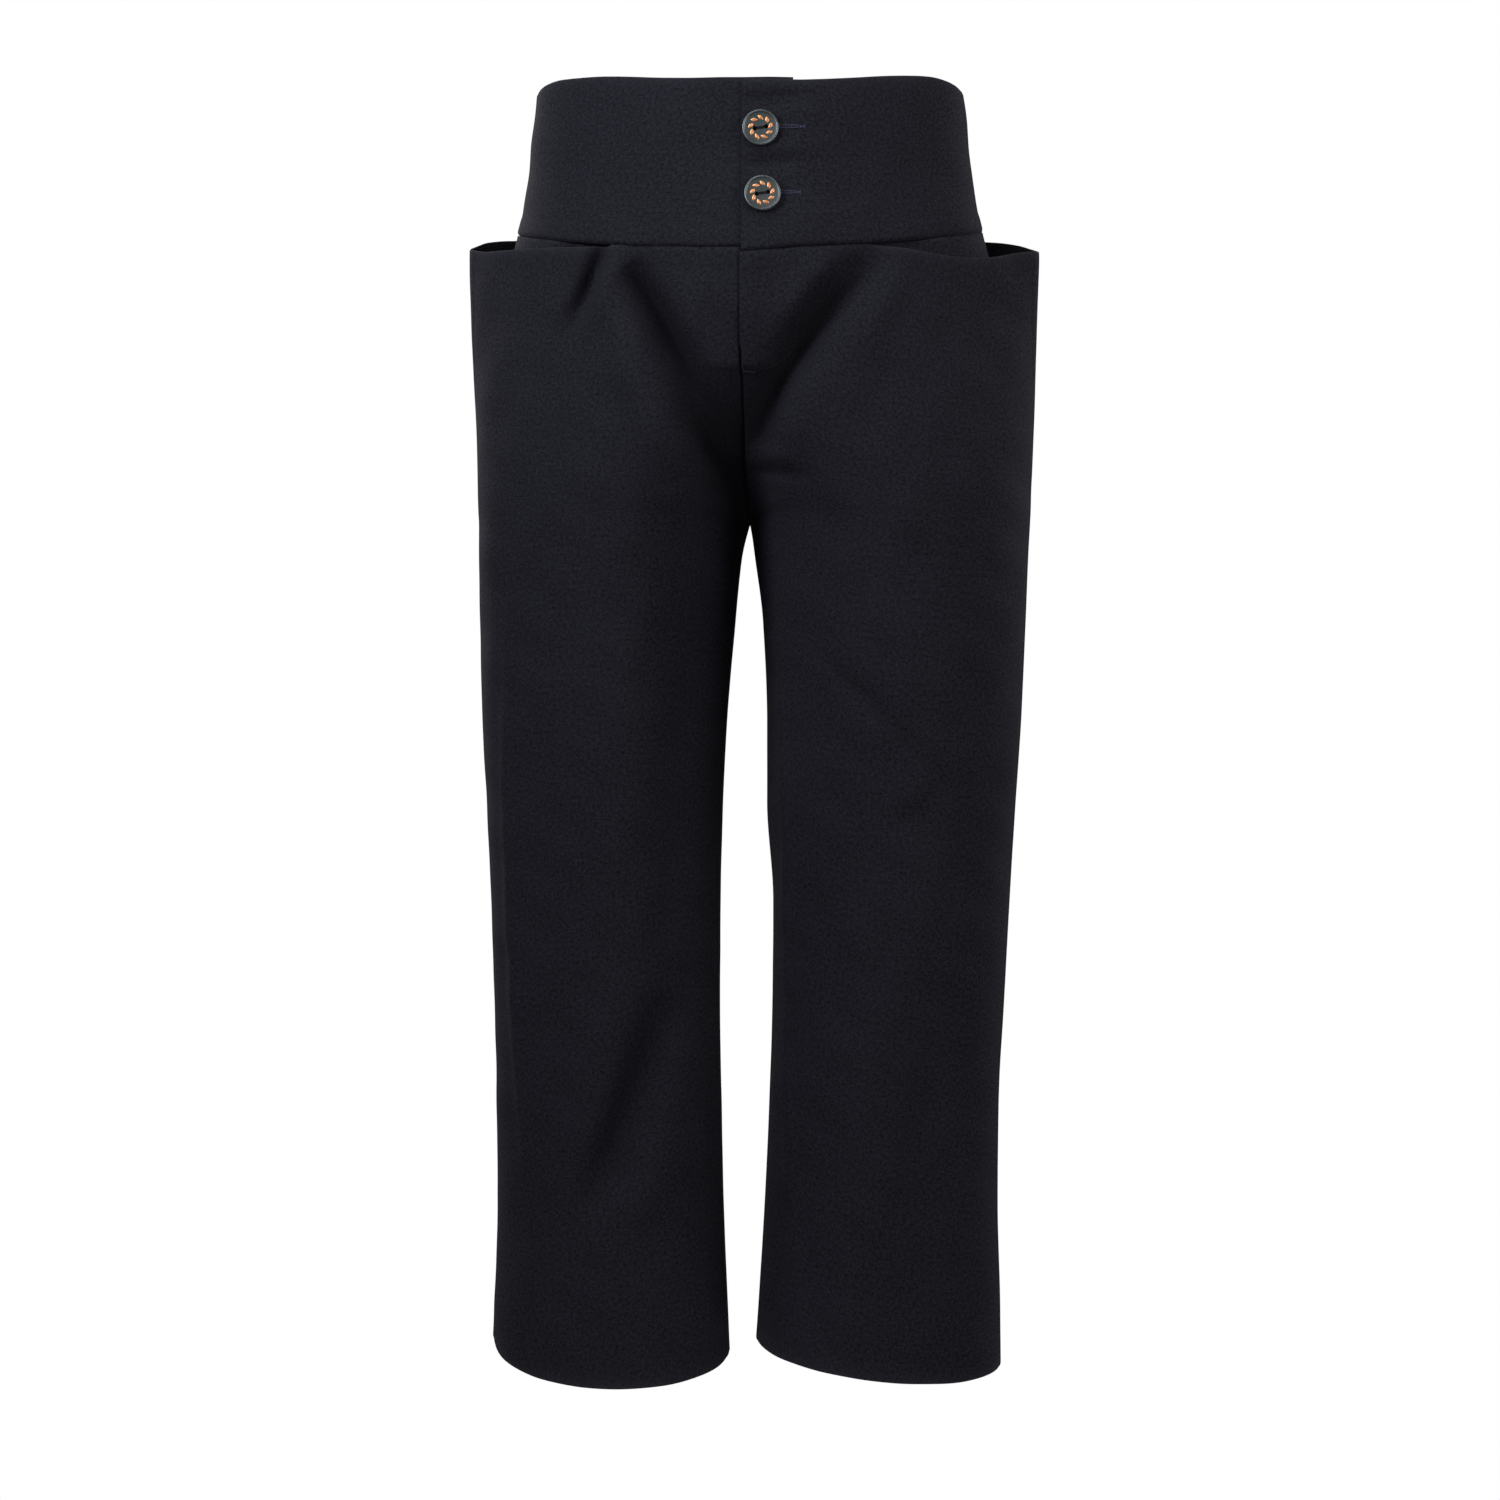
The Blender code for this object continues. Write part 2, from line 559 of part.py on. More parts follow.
def inside_leg(side, face, point, inset):
    """Holds points of a pocket inside the cloth of the leg panel in front of or behind them."""
    ring = leg_ring[side](point[..., 2])
    from_middle = np.abs(point[..., 0]) - ring["middle"]
    cosine = np.clip(from_middle / half_width(ring, from_middle), -1, 1)
    steps = POCKET_BERTH * np.array((-1, -0.5, 0, 0.5, 1))
    beside = [fold_height(face, point[..., 0] + step, point[..., 2]) for step in steps]
    limit = leg_depth(ring, face, np.sqrt(1 - cosine**2)) + np.min(beside, axis=0) - inset - POCKET_ROOM
    away = -1 if face == "front" else 1
    held = point.copy()
    held[..., 1] = away * np.minimum(away * point[..., 1], limit)
    return held


def band_surface(across, height):
    """A point on the outside of the overlap."""
    ring = band_ring(height)
    depth = ring["front"] * np.sqrt(1 - (across / ring["half_width"]) ** 2) + OVERLAP_LIFT
    return Vector((across, -float(depth), height))


def button(name, across, height, material, collection, cutters):
    """A turned two-hole button, seated against the overlap."""
    radius, rim, top = BUTTON_RADIUS, BUTTON_RIM, BUTTON_THICKNESS
    profile = (
        (0.0, top - BUTTON_DISH),
        (radius - rim - BUTTON_SLOPE, top - BUTTON_DISH),
        (radius - rim - BUTTON_SHOULDER, top - BUTTON_SHOULDER / 2),
        (radius - rim, top),
        (radius - BUTTON_BEVEL, top),
        (radius, top - BUTTON_BEVEL),
        (radius, BUTTON_BEVEL),
        (radius - BUTTON_UNDERCUT, 0.0),
        (0.0, 0.0),
    )
    mesh = bpy.data.meshes.new(name)
    edges = [(k, k + 1) for k in range(len(profile) - 1)]
    mesh.from_pydata([(x * MM, 0, z * MM) for x, z in profile], edges, [])
    mesh.materials.append(material)
    piece = bpy.data.objects.new(name, mesh)
    collection.objects.link(piece)
    turned = piece.modifiers.new("turned", "SCREW")
    turned.axis = "Z"
    turned.steps = turned.render_steps = BUTTON_STEPS
    turned.use_merge_vertices = True
    turned.merge_threshold = 0.00005
    turned.use_smooth_shade = True
    for hole_side in (-1, 1):
        mesh = bpy.data.meshes.new(f"{name}_hole")
        shape = bmesh.new()
        bmesh.ops.create_cone(
            shape, cap_ends=True, segments=BUTTON_HOLE_SIDES, radius1=BUTTON_HOLE_RADIUS * MM,
            radius2=BUTTON_HOLE_RADIUS * MM, depth=4 * top * MM,
        )
        bmesh.ops.translate(shape, vec=(hole_side * BUTTON_HOLE_SPACING / 2 * MM, 0, 0), verts=shape.verts)
        shape.to_mesh(mesh)
        shape.free()
        cutter = bpy.data.objects.new(f"{name}_hole", mesh)
        cutter.hide_render = True
        cutter.display_type = "WIRE"
        cutter.parent = piece
        cutters.objects.link(cutter)
        hole = piece.modifiers.new("hole", "BOOLEAN")
        hole.operation = "DIFFERENCE"
        hole.solver = "EXACT"
        hole.object = cutter
    here = band_surface(across, height)
    along = band_surface(across + 1, height) - here
    normal = along.cross(band_surface(across, height + 1) - here).normalized()
    across_axis = along.normalized()
    up_axis = normal.cross(across_axis)
    turn = Matrix((across_axis, up_axis, normal)).transposed().to_4x4()
    spin = Matrix.Rotation(np.radians(BUTTON_TILT), 4, "Z")
    piece.matrix_world = Matrix.Translation((here + normal * SEAM_GAP) * MM) @ turn @ spin
    return piece


def cloth_material(name, colour, roughness, metallic=0.0):
    material = bpy.data.materials.new(name)
    material.use_nodes = True
    shader = material.node_tree.nodes["Principled BSDF"]
    shader.inputs["Base Color"].default_value = (*colour, 1)
    shader.inputs["Roughness"].default_value = roughness
    shader.inputs["Metallic"].default_value = metallic
    return material


def build():
    for old in list(bpy.data.objects):
        bpy.data.objects.remove(old, do_unlink=True)
    trousers = bpy.data.collections.new("dress_trousers")
    cutters = bpy.data.collections.new("cutters")
    bpy.context.scene.collection.children.link(trousers)
    bpy.context.scene.collection.children.link(cutters)
    twill = cloth_material("navy_twill", NAVY, 0.9)
    slate = cloth_material("slate_button", SLATE, 0.35, 0.6)
    for side in (1, -1):
        for face in ("front", "back"):
            leg_panel(side, face, twill, trousers)
        hip_pocket(side, twill, trousers)
    waistband(twill, trousers)
    for name, (across, height) in BUTTONS.items():
        button(name, across, height, slate, trousers, cutters)


build()
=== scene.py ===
# %% [markdown]
# Dress trousers in dark navy twill, as they stand on an unseen wearer: a deep contoured waistband with two
# buttons, two pouch pockets with open mouths, a buttoned fly and straight cropped legs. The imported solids
# already hold the cut of every piece. Each cell below makes the cloth of one of them again, far finer, with
# its creases, rounded edges, weave and sewing, so that nothing plain is left showing.

import bpy
import numpy as np
from mathutils import Matrix, Vector


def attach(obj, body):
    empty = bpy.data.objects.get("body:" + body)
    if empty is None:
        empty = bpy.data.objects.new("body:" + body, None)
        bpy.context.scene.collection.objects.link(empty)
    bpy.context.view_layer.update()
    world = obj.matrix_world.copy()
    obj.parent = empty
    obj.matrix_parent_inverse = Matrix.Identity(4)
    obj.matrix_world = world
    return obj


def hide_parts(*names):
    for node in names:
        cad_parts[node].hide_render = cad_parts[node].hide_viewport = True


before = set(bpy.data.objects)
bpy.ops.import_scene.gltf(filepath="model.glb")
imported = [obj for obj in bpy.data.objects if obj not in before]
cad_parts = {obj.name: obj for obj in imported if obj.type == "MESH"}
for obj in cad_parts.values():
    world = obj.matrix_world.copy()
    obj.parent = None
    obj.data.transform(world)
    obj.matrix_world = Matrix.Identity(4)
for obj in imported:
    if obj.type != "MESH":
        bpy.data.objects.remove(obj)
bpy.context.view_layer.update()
MM = 0.001

# %% [markdown]
# The trousers are seen from the front at the height of their middle, a few degrees to the wearer's left,
# from far enough away that the legs stay parallel. A long lens on a level camera gives that view, and a
# level camera keeps the side seams upright.

# %% Set the camera
EYE_DISTANCE = 2.6
EYE_HEIGHT = -0.423
EYE_TURN = np.radians(3.0)
VIEW_WIDTH = 0.975
SENSOR_WIDTH = 36.0

camera_data = bpy.data.cameras.new("camera")
camera_data.sensor_width = SENSOR_WIDTH
camera_data.lens = SENSOR_WIDTH * EYE_DISTANCE / VIEW_WIDTH
camera = bpy.data.objects.new("camera", camera_data)
camera.location = (EYE_DISTANCE * np.sin(EYE_TURN), -EYE_DISTANCE * np.cos(EYE_TURN), EYE_HEIGHT)
camera.rotation_euler = (np.pi / 2, 0, EYE_TURN)
bpy.context.scene.collection.objects.link(camera)
bpy.context.scene.camera = camera
print("lens in mm", round(camera_data.lens, 1))

# %% [markdown]
# Trousers have no straight sections, but every level cut through them is a simple ring. A table gives the
# ring's sizes height by height, in millimetres, and a curve through the rows that never overshoots them
# fills in the rest. Moving one number moves the cloth smoothly, which is how a cutter would let out a seam.


# %% Read sizes between the rows of a table
def smooth_table(names, rows):
    """A function of the first column that gives the others by a monotone cubic."""
    table = np.array(sorted(rows), float)
    at, values = table[:, 0], table[:, 1:]
    slope = np.diff(values, axis=0) / np.diff(at)[:, None]
    tangent = np.zeros_like(values)
    tangent[0], tangent[-1] = slope[0], slope[-1]
    before, after = slope[:-1], slope[1:]
    same = before * after > 0
    whole = np.where(same, before + after, 1.0)
    tangent[1:-1] = np.where(same, 2 * before * after / whole, 0.0)

    def read(x):
        x = np.clip(np.asarray(x, float), at[0], at[-1])
        i = np.clip(np.searchsorted(at, x) - 1, 0, len(at) - 2)
        h = at[i + 1] - at[i]
        t = ((x - at[i]) / h)[..., None]
        h = h[..., None]
        found = (
            (2 * t**3 - 3 * t**2 + 1) * values[i]
            + (t**3 - 2 * t**2 + t) * h * tangent[i]
            + (3 * t**2 - 2 * t**3) * values[i + 1]
            + (t**3 - t**2) * h * tangent[i + 1]
        )
        return {name: found[..., k] for k, name in enumerate(names[1:])}

    return read


def smooth_step(x):
    x = np.clip(x, 0.0, 1.0)
    return x * x * (3 - 2 * x)


print("a quarter of the way, a smooth step has risen by", smooth_step(0.25))

# %% The rings of the waistband and of the hip inside the pockets
RING_NAMES = ("height", "half_width", "front", "back")
BAND_RINGS = (
    (6, 137.5, 94.5, 84.5),
    (-27, 141.7, 98.0, 88.0),
    (-53, 144.0, 101.0, 91.5),
    (-72, 147.0, 104.0, 95.0),
    (-88, 151.0, 107.0, 98.5),
    (-115, 158.0, 110.5, 103.0),
)
HIP_RINGS = (
    (-88, 151.0, 107.0, 98.5),
    (-115, 156.6, 109.5, 102.0),
    (-150, 157.0, 109.0, 105.0),
    (-200, 157.0, 107.0, 108.0),
    (-240, 157.0, 104.0, 108.0),
)
band_ring = smooth_table(RING_NAMES, BAND_RINGS)
hip_ring = smooth_table(RING_NAMES, HIP_RINGS)
waist = band_ring(0)
mean_radius = (2 * waist["half_width"] + waist["front"] + waist["back"]) / 4
print("waist girth in mm, about", round(float(2 * np.pi * mean_radius)))

# %% [markdown]
# A leg starts at the top as half of the hips: its ring is cut off by the centre plane, where the two fronts
# and the two backs are sewn together. Below the crotch the ring closes on itself. One table can hold both
# if it says where the ring's outer edge, middle and inner edge stand, because an inner edge past the centre
# plane simply means that the cloth stops there.

# %% The rings of the two legs
LEG_NAMES = ("height", "outer", "middle", "inner", "front", "back", "pinch")
LEFT_LEG = (
    (-80, 185.0, 0.0, -185.0, 108.4, 98.0, 1.55),
    (-105, 187.8, 0.0, -187.8, 110.0, 102.0, 1.55),
    (-140, 186.5, 8.0, -182.0, 110.8, 109.2, 1.42),
    (-180, 185.0, 28.0, -120.0, 109.4, 116.0, 1.18),
    (-204, 184.2, 44.0, -80.0, 108.2, 120.0, 1.06),
    (-229, 183.2, 62.0, -45.0, 106.0, 121.5, 1.0),
    (-244, 182.6, 72.0, -27.0, 104.4, 121.0, 1.0),
    (-256, 182.0, 79.0, -13.0, 103.0, 119.6, 1.0),
    (-264, 181.8, 82.5, -6.2, 102.0, 118.4, 1.0),
    (-270, 181.6, 85.0, -2.0, 101.2, 117.4, 1.0),
    (-274, 181.4, 86.4, -0.2, 100.6, 116.6, 1.0),
    (-300, 180.0, 91.0, 4.0, 97.4, 111.4, 1.0),
    (-340, 178.4, 93.6, 9.0, 93.2, 104.0, 1.0),
    (-404, 175.5, 93.6, 11.6, 87.4, 94.0, 1.0),
    (-456, 172.0, 92.6, 11.6, 83.4, 87.0, 1.0),
    (-521, 168.0, 91.6, 15.6, 79.4, 81.0, 1.0),
    (-586, 164.5, 89.6, 15.0, 76.4, 77.4, 1.0),
    (-651, 161.0, 87.0, 13.0, 74.0, 75.4, 1.0),
    (-716, 160.4, 85.2, 10.0, 72.6, 75.0, 1.0),
    (-781, 162.0, 84.0, 6.0, 72.0, 75.4, 1.0),
    (-828, 162.4, 82.6, 2.6, 72.0, 76.0, 1.0),
)
RIGHT_LEG = (
    (-80, 183.0, 0.0, -183.0, 108.4, 98.0, 1.5),
    (-105, 183.2, 0.0, -183.2, 110.0, 102.0, 1.5),
    (-140, 182.0, 8.0, -178.0, 110.8, 109.2, 1.38),
    (-180, 180.0, 28.0, -116.0, 109.4, 116.0, 1.17),
    (-204, 178.4, 44.0, -78.0, 108.2, 120.0, 1.06),
    (-229, 177.2, 61.0, -44.0, 106.0, 121.5, 1.0),
    (-244, 176.8, 70.0, -26.0, 104.4, 121.0, 1.0),
    (-256, 176.6, 76.5, -12.6, 103.0, 119.6, 1.0),
    (-264, 176.4, 80.0, -6.0, 102.0, 118.4, 1.0),
    (-270, 176.2, 82.4, -2.0, 101.2, 117.4, 1.0),
    (-274, 176.0, 84.0, -0.2, 100.6, 116.6, 1.0),
    (-300, 175.8, 89.4, 6.0, 97.4, 111.4, 1.0),
    (-340, 175.2, 92.6, 10.0, 93.2, 104.0, 1.0),
    (-404, 173.6, 94.4, 15.4, 87.4, 94.0, 1.0),
    (-456, 171.0, 94.6, 18.0, 83.4, 87.0, 1.0),
    (-521, 168.0, 93.8, 19.6, 79.4, 81.0, 1.0),
    (-586, 166.0, 93.0, 20.0, 76.4, 77.4, 1.0),
    (-651, 164.5, 91.8, 19.0, 74.0, 75.4, 1.0),
    (-716, 164.0, 90.8, 17.6, 72.6, 75.0, 1.0),
    (-781, 166.0, 90.6, 15.0, 72.0, 75.4, 1.0),
    (-828, 168.6, 90.8, 13.0, 72.0, 76.0, 1.0),
)
leg_ring = {1: smooth_table(LEG_NAMES, LEFT_LEG), -1: smooth_table(LEG_NAMES, RIGHT_LEG)}
print("hem width of the left leg in mm", round(LEFT_LEG[-1][1] - LEFT_LEG[-1][3], 1))

# %% [markdown]
# Two kinds of edge bound the leg panels. The waist seam is sewn, and dips from the sides to the centre,
# most of all in front. The pocket lips are free edges that droop beside it. At the other end the hem hangs
# lowest at the front crease, because the shin holds it out.

# %% Seams, lips and hems
SEAM_GAP = 0.04
SIDE_SEAM_DROP = -88.0
SEAM_DIPS = {"front": 21.5, "back": 12.0}
SEAM_CURVE = 0.65
SEAM_PASSES = 4
MOUTH_HEIGHT = -104.0
OVERLAP_DIP = 3.0
OVERLAP_DIP_WIDTH = 22.0
LIP_BLEND = 8.0
LIP_NAMES = ("across", "height")
LIPS = {
    "front_left": (
        (80, -106.8), (96, -107.5), (119, -109.8), (140, -111.2), (158, -108.6), (176, -103.4), (188, -100.4),
    ),
    "front_right": ((78, -106.0), (90, -106.0), (114, -104.9), (147, -103.0), (170, -101.2), (184, -96.6)),
    "back_left": (
        (104, -96.4), (114, -92.6), (126, -89.2), (142, -87.4), (160, -89.6), (175, -93.6), (188, -100.4),
    ),
    "back_right": (
        (104, -96.4), (114, -92.6), (126, -88.6), (142, -85.2), (160, -86.8), (174, -90.0), (184, -96.6),
    ),
}
HEM_NAMES = ("outseam", "crease", "inseam", "crease_share")
HEMS = {
    "front_left": (-818.6, -821.6, -803.4, 0.46),
    "front_right": (-800.0, -828.0, -813.4, 0.45),
    "back_left": (-818.6, -816.6, -803.4, 0.5),
    "back_right": (-800.0, -818.0, -813.4, 0.5),
}
lips = {name: smooth_table(LIP_NAMES, rows) for name, rows in LIPS.items()}


def waist_seam(face, cosine):
    """Height of the waist seam, from the side, where the cosine is 1, round to the centre."""
    return SIDE_SEAM_DROP - SEAM_DIPS[face] * np.clip(1 - cosine**2, 0, 1) ** SEAM_CURVE


def waist_seam_at(face, across):
    height = np.full(np.shape(across), MOUTH_HEIGHT)
    for _ in range(SEAM_PASSES):
        height = waist_seam(face, np.clip(across / band_ring(height)["half_width"], 0, 1))
    return height


def overlap_dip(x):
    return OVERLAP_DIP * np.exp(-((x / OVERLAP_DIP_WIDTH) ** 2))


print("waist seam at the centre front in mm", round(float(waist_seam_at("front", np.float64(0))), 1))

# %% [markdown]
# Worn cloth is never smooth. It is pulled towards the crotch and the knee, and it hangs in long shallow
# falls between. A crease is drawn here as a bent line over the front or the back, with a half width and a
# height, and with a lean where one flank is steeper than the other. The cloth is pushed in or out round
# that line, most at its middle and little at its ends. A simulation could drape the legs too, but it would
# choose other creases than these.

# %% The creases of the front
FOLD_NAMES = ("x0", "z0", "x1", "z1", "x2", "z2", "half_width", "height", "lean")
FRONT_FOLDS = {
    "left drag valley": (84, -116, 36, -172, 0, -242, 13, -12.0, -0.35),
    "left drag crease": (74, -131, 34, -176, 7, -227, 4.5, -4.0, -0.2),
    "left drag ridge": (104, -118, 74, -176, 30, -240, 16, 3.5, 0.0),
    "left waist ridge": (58, -112, 42, -130, 26, -158, 9, 4.0, 0.0),
    "left second drag": (104, -140, 80, -176, 48, -216, 8, -0.9, 0.0),
    "left crotch crease": (-2, -246, 14, -248, 38, -252, 4.5, -3.2, 0.3),
    "left crotch swell": (2, -235, 16, -237, 38, -242, 6, 2.0, 0.0),
    "left thigh drag": (44, -358, 84, -402, 128, -443, 6, -1.6, 0.3),
    "left knee drag": (130, -444, 112, -462, 88, -476, 8, -1.3, 0.0),
    "left inner ridge": (20, -296, 27, -430, 26, -600, 3.6, 3.0, 0.0),
    "left inner shin ridge": (25, -590, 27, -680, 34, -790, 4.5, 1.8, 0.0),
    "left shin fall": (120, -560, 112, -660, 96, -780, 22, -2.5, 0.0),
    "centre hollow": (-4, -182, -5, -222, -3, -268, 24, -9.5, 0.0),
    "right pleat": (-88, -101, -94, -120, -109, -156, 6, -9.5, 0.35),
    "right pleat ridge": (-76, -106, -83, -130, -95, -160, 8, 3.0, 0.0),
    "right drag": (-74, -117, -45, -151, -6, -250, 13, -13.5, -0.3),
    "right drag crease": (-72, -123, -58, -138, -30, -186, 4.5, -4.0, -0.2),
    "right drag ridge": (-88, -112, -70, -180, -44, -258, 14, 6.0, 0.0),
    "right crotch crease": (-27, -222, -10, -240, 1, -266, 5, -3.5, 0.0),
    "right thigh ridge": (-64, -200, -72, -380, -80, -540, 20, 4.0, 0.0),
    "right side ridge": (-166, -180, -160, -380, -156, -540, 10, 2.0, 0.0),
    "right outer ridge": (-149, -330, -157, -550, -137, -720, 4, 2.6, 0.0),
    "right inner fall": (-28, -280, -40, -400, -48, -560, 18, -3.5, 0.0),
    "right shin valley": (-46, -572, -70, -640, -102, -722, 13, -8.0, 0.25),
    "right shin ridge": (-76, -560, -96, -640, -122, -730, 15, 2.2, 0.0),
    "right hem ridge": (-40, -676, -58, -706, -88, -732, 14, 2.2, 0.0),
}
print("creases in front", len(FRONT_FOLDS))

# %% The creases of the back
BACK_FOLDS = {
    "left seat drag": (74, -196, 44, -240, 6, -266, 12, -5.0, 0.0),
    "left seat ridge": (90, -214, 60, -262, 30, -292, 13, 3.0, 0.0),
    "left knee break": (32, -486, 76, -500, 124, -488, 13, -3.5, 0.0),
    "left calf valley": (118, -540, 104, -630, 92, -730, 16, -3.0, 0.0),
    "left side fall": (160, -190, 156, -330, 150, -460, 12, 2.5, 0.0),
    "right seat drag": (-80, -188, -46, -236, -6, -264, 12, -5.5, 0.0),
    "right seat ridge": (-96, -210, -62, -260, -34, -296, 13, 3.0, 0.0),
    "right knee break": (-34, -500, -78, -512, -122, -496, 14, -3.0, 0.0),
    "right calf valley": (-112, -560, -98, -650, -88, -752, 16, -3.0, 0.0),
    "right side fall": (-158, -180, -154, -320, -148, -440, 12, 2.5, 0.0),
}
print("creases behind", len(BACK_FOLDS))

# %% The creases of the waistband
BAND_FOLDS = {
    "pull at the top button": (1, -16, 18, -18.5, 44, -13, 5, -3.4, 0.2),
    "pull at the lower button": (1, -56, 14, -59, 38, -53, 5, -3.0, 0.2),
    "swell between the buttons": (6, -46, 30, -49, 64, -43, 6, 1.4, 0.0),
    "swell under the buttons": (20, -96, 50, -92, 90, -84, 7, 0.8, 0.0),
}
FOLD_STEPS = 12
FOLD_END = 0.02


def fold_lines(folds):
    """Each crease's bent line as points, with its half width, height and lean."""
    lines = []
    for row in folds.values():
        fold = dict(zip(FOLD_NAMES, row))
        t = np.linspace(0, 1, FOLD_STEPS + 1)[:, None]
        ends = [np.array([fold[f"x{k}"], fold[f"z{k}"]], float) for k in range(3)]
        line = (1 - t) ** 2 * ends[0] + 2 * t * (1 - t) * ends[1] + t**2 * ends[2]
        lines.append((line, fold["half_width"], fold["height"], fold["lean"]))
    return lines


FOLDS = {"front": fold_lines(FRONT_FOLDS), "back": fold_lines(BACK_FOLDS), "band": fold_lines(BAND_FOLDS)}


def fold_height(face, x, z):
    """How far the creases push the cloth out or in at a place over the front or the back."""
    place = np.stack([x, z], axis=-1)
    total = np.zeros(x.shape)
    for line, half_width, height, lean in FOLDS[face]:
        nearest = np.full(x.shape, np.inf)
        along = np.zeros(x.shape)
        beside = np.zeros(x.shape)
        for k in range(FOLD_STEPS):
            start, run = line[k], line[k + 1] - line[k]
            t = np.clip(((place - start) @ run) / (run @ run), 0, 1)
            from_line = place - start - t[..., None] * run
            away = np.linalg.norm(from_line, axis=-1)
            closer = away < nearest
            nearest = np.where(closer, away, nearest)
            along = np.where(closer, (k + t) / FOLD_STEPS, along)
            flank = np.sign(run[0] * from_line[..., 1] - run[1] * from_line[..., 0])
            beside = np.where(closer, flank, beside)
        swell = np.sin(np.pi * np.clip(along, FOLD_END, 1 - FOLD_END))
        width = half_width * (1 + lean * beside * swell)
        total += height * np.sqrt(swell) * np.exp(-((nearest / width) ** 2))
    return total


print("creases", {face: len(lines) for face, lines in FOLDS.items()})

# %% [markdown]
# Between its creases the twill still ripples by a fraction of a millimetre. A few long plane waves with
# fixed directions, laid over each other, never repeat within a leg and cost nothing to work out.

# %% Slight ripples all over
RIPPLE_HEIGHT = 0.22
RIPPLE_NAMES = ("across", "down", "phase")
RIPPLES = (
    (0.021, 0.008, 0.3),
    (-0.013, 0.017, 1.9),
    (0.034, -0.011, 4.1),
    (0.009, 0.029, 2.6),
    (-0.027, -0.023, 5.2),
)


def ripple_height(x, z):
    total = np.zeros(x.shape)
    for row in RIPPLES:
        wave = dict(zip(RIPPLE_NAMES, row))
        total += np.sin(2 * np.pi * (wave["across"] * x + wave["down"] * z) + wave["phase"])
    return RIPPLE_HEIGHT * total


print("ripples in mm, at most", round(RIPPLE_HEIGHT * len(RIPPLES), 2))

# %% [markdown]
# The leg's surface is its ring, turned through an angle from the outseam, with the creases added along the
# outward direction. Near the side seams the creases fade out, because two layers of seam allowance hold the
# cloth straight there.

# %% The surface of a leg
CROTCH_HEIGHT = -274.0
CROTCH_FADE = 40.0
SEAM_FADE = 0.35
CENTRE_HOLD = 18.0


def half_width(ring, cosine):
    return np.where(cosine > 0, ring["outer"] - ring["middle"], ring["middle"] - ring["inner"])


def leg_depth(ring, face, sine, inset=0.0):
    return (ring[face] - inset) * np.abs(sine) ** ring["pinch"]


def leg_point(side, face, angle, height, inset=0.0):
    ring = leg_ring[side](height)
    cosine = np.cos(angle)
    out = leg_depth(ring, face, np.sin(angle), inset)
    across = side * (ring["middle"] + (half_width(ring, cosine) - inset) * cosine)
    return np.stack([across, (-out if face == "front" else out), height + 0 * angle], axis=-1)


def end_angle(side, height):
    """The angle at which the ring meets the centre plane, or half a turn where the leg is closed."""
    ring = leg_ring[side](height)
    return np.arccos(np.clip(-ring["middle"] / half_width(ring, np.float64(-1)), -1, 1))


def leg_surface(side, face, angle, heights, inset=0.0):
    point = leg_point(side, face, angle, heights, inset)
    ring = leg_ring[side](heights)
    cosine = np.cos(angle)
    away = -1.0 if face == "front" else 1.0
    outward = np.stack([side * cosine / half_width(ring, cosine), away * np.sin(angle) / ring[face]], axis=-1)
    outward /= np.linalg.norm(outward, axis=-1, keepdims=True)
    outward[..., 0] *= np.clip(np.abs(point[..., 0]) / CENTRE_HOLD, 0, 1)
    closed = smooth_step((CROTCH_HEIGHT - heights) / CROTCH_FADE)
    fade = smooth_step(angle / SEAM_FADE) * (1 - closed * (1 - smooth_step((np.pi - angle) / SEAM_FADE)))
    lift = fold_height(face, point[..., 0], heights) + ripple_height(point[..., 0], heights)
    point[..., :2] += outward * (lift * fade)[..., None]
    return point


thigh = leg_ring[1](CROTCH_HEIGHT)
print("depth of the left leg at the crotch in mm", round(float(thigh["front"] + thigh["back"]), 1))

# %% The heights of a panel's rows
ROWS_TOP = -100.0
ROWS_HEM = -821.0
HIP_END = -280.0
HIP_SHARE = 0.4
TOP_BLEND = 60.0
HEM_BLEND = 90.0
ROW_EASE = 1.5
TURN_UP = 34.0
TURN_UP_STEPS = (-0.8, -0.1, 0.5, 1.4)
LEAST_STEP = 0.05
EDGE_STEPS = (0.0, 0.06, 0.2, 0.42, 0.75, 1.2, 1.8, 2.6, 3.6, 5.0, 6.8)
CROTCH_ROWS = (-262.0, -279.0, 12)


def panel_rows(count):
    """Level rows from the top edge to the hem, closest at both edges, the turn-up and where the legs part."""
    top = [ROWS_TOP - d for d in EDGE_STEPS]
    hem = [ROWS_HEM + d for d in EDGE_STEPS]
    turn_up = [ROWS_HEM + TURN_UP + d for d in TURN_UP_STEPS]
    hips = np.linspace(ROWS_TOP, HIP_END, round(count * HIP_SHARE))
    legs = np.linspace(HIP_END, ROWS_HEM, count - len(hips))
    rows = np.concatenate([hips, legs, np.linspace(*CROTCH_ROWS), top, hem, turn_up])
    rows = np.sort(rows)[::-1]
    keep = [rows[0]]
    for row in rows[1:]:
        if keep[-1] - row > LEAST_STEP:
            keep.append(row)
    return np.array(keep)


def panel_shares(count, length):
    """Shares of the way from the outseam to the inner seam, closest at both."""
    steps = np.array(EDGE_STEPS) / length
    between = np.linspace(steps[-1], 1 - steps[-1], count)
    return np.unique(np.concatenate([steps, between, 1 - steps]))


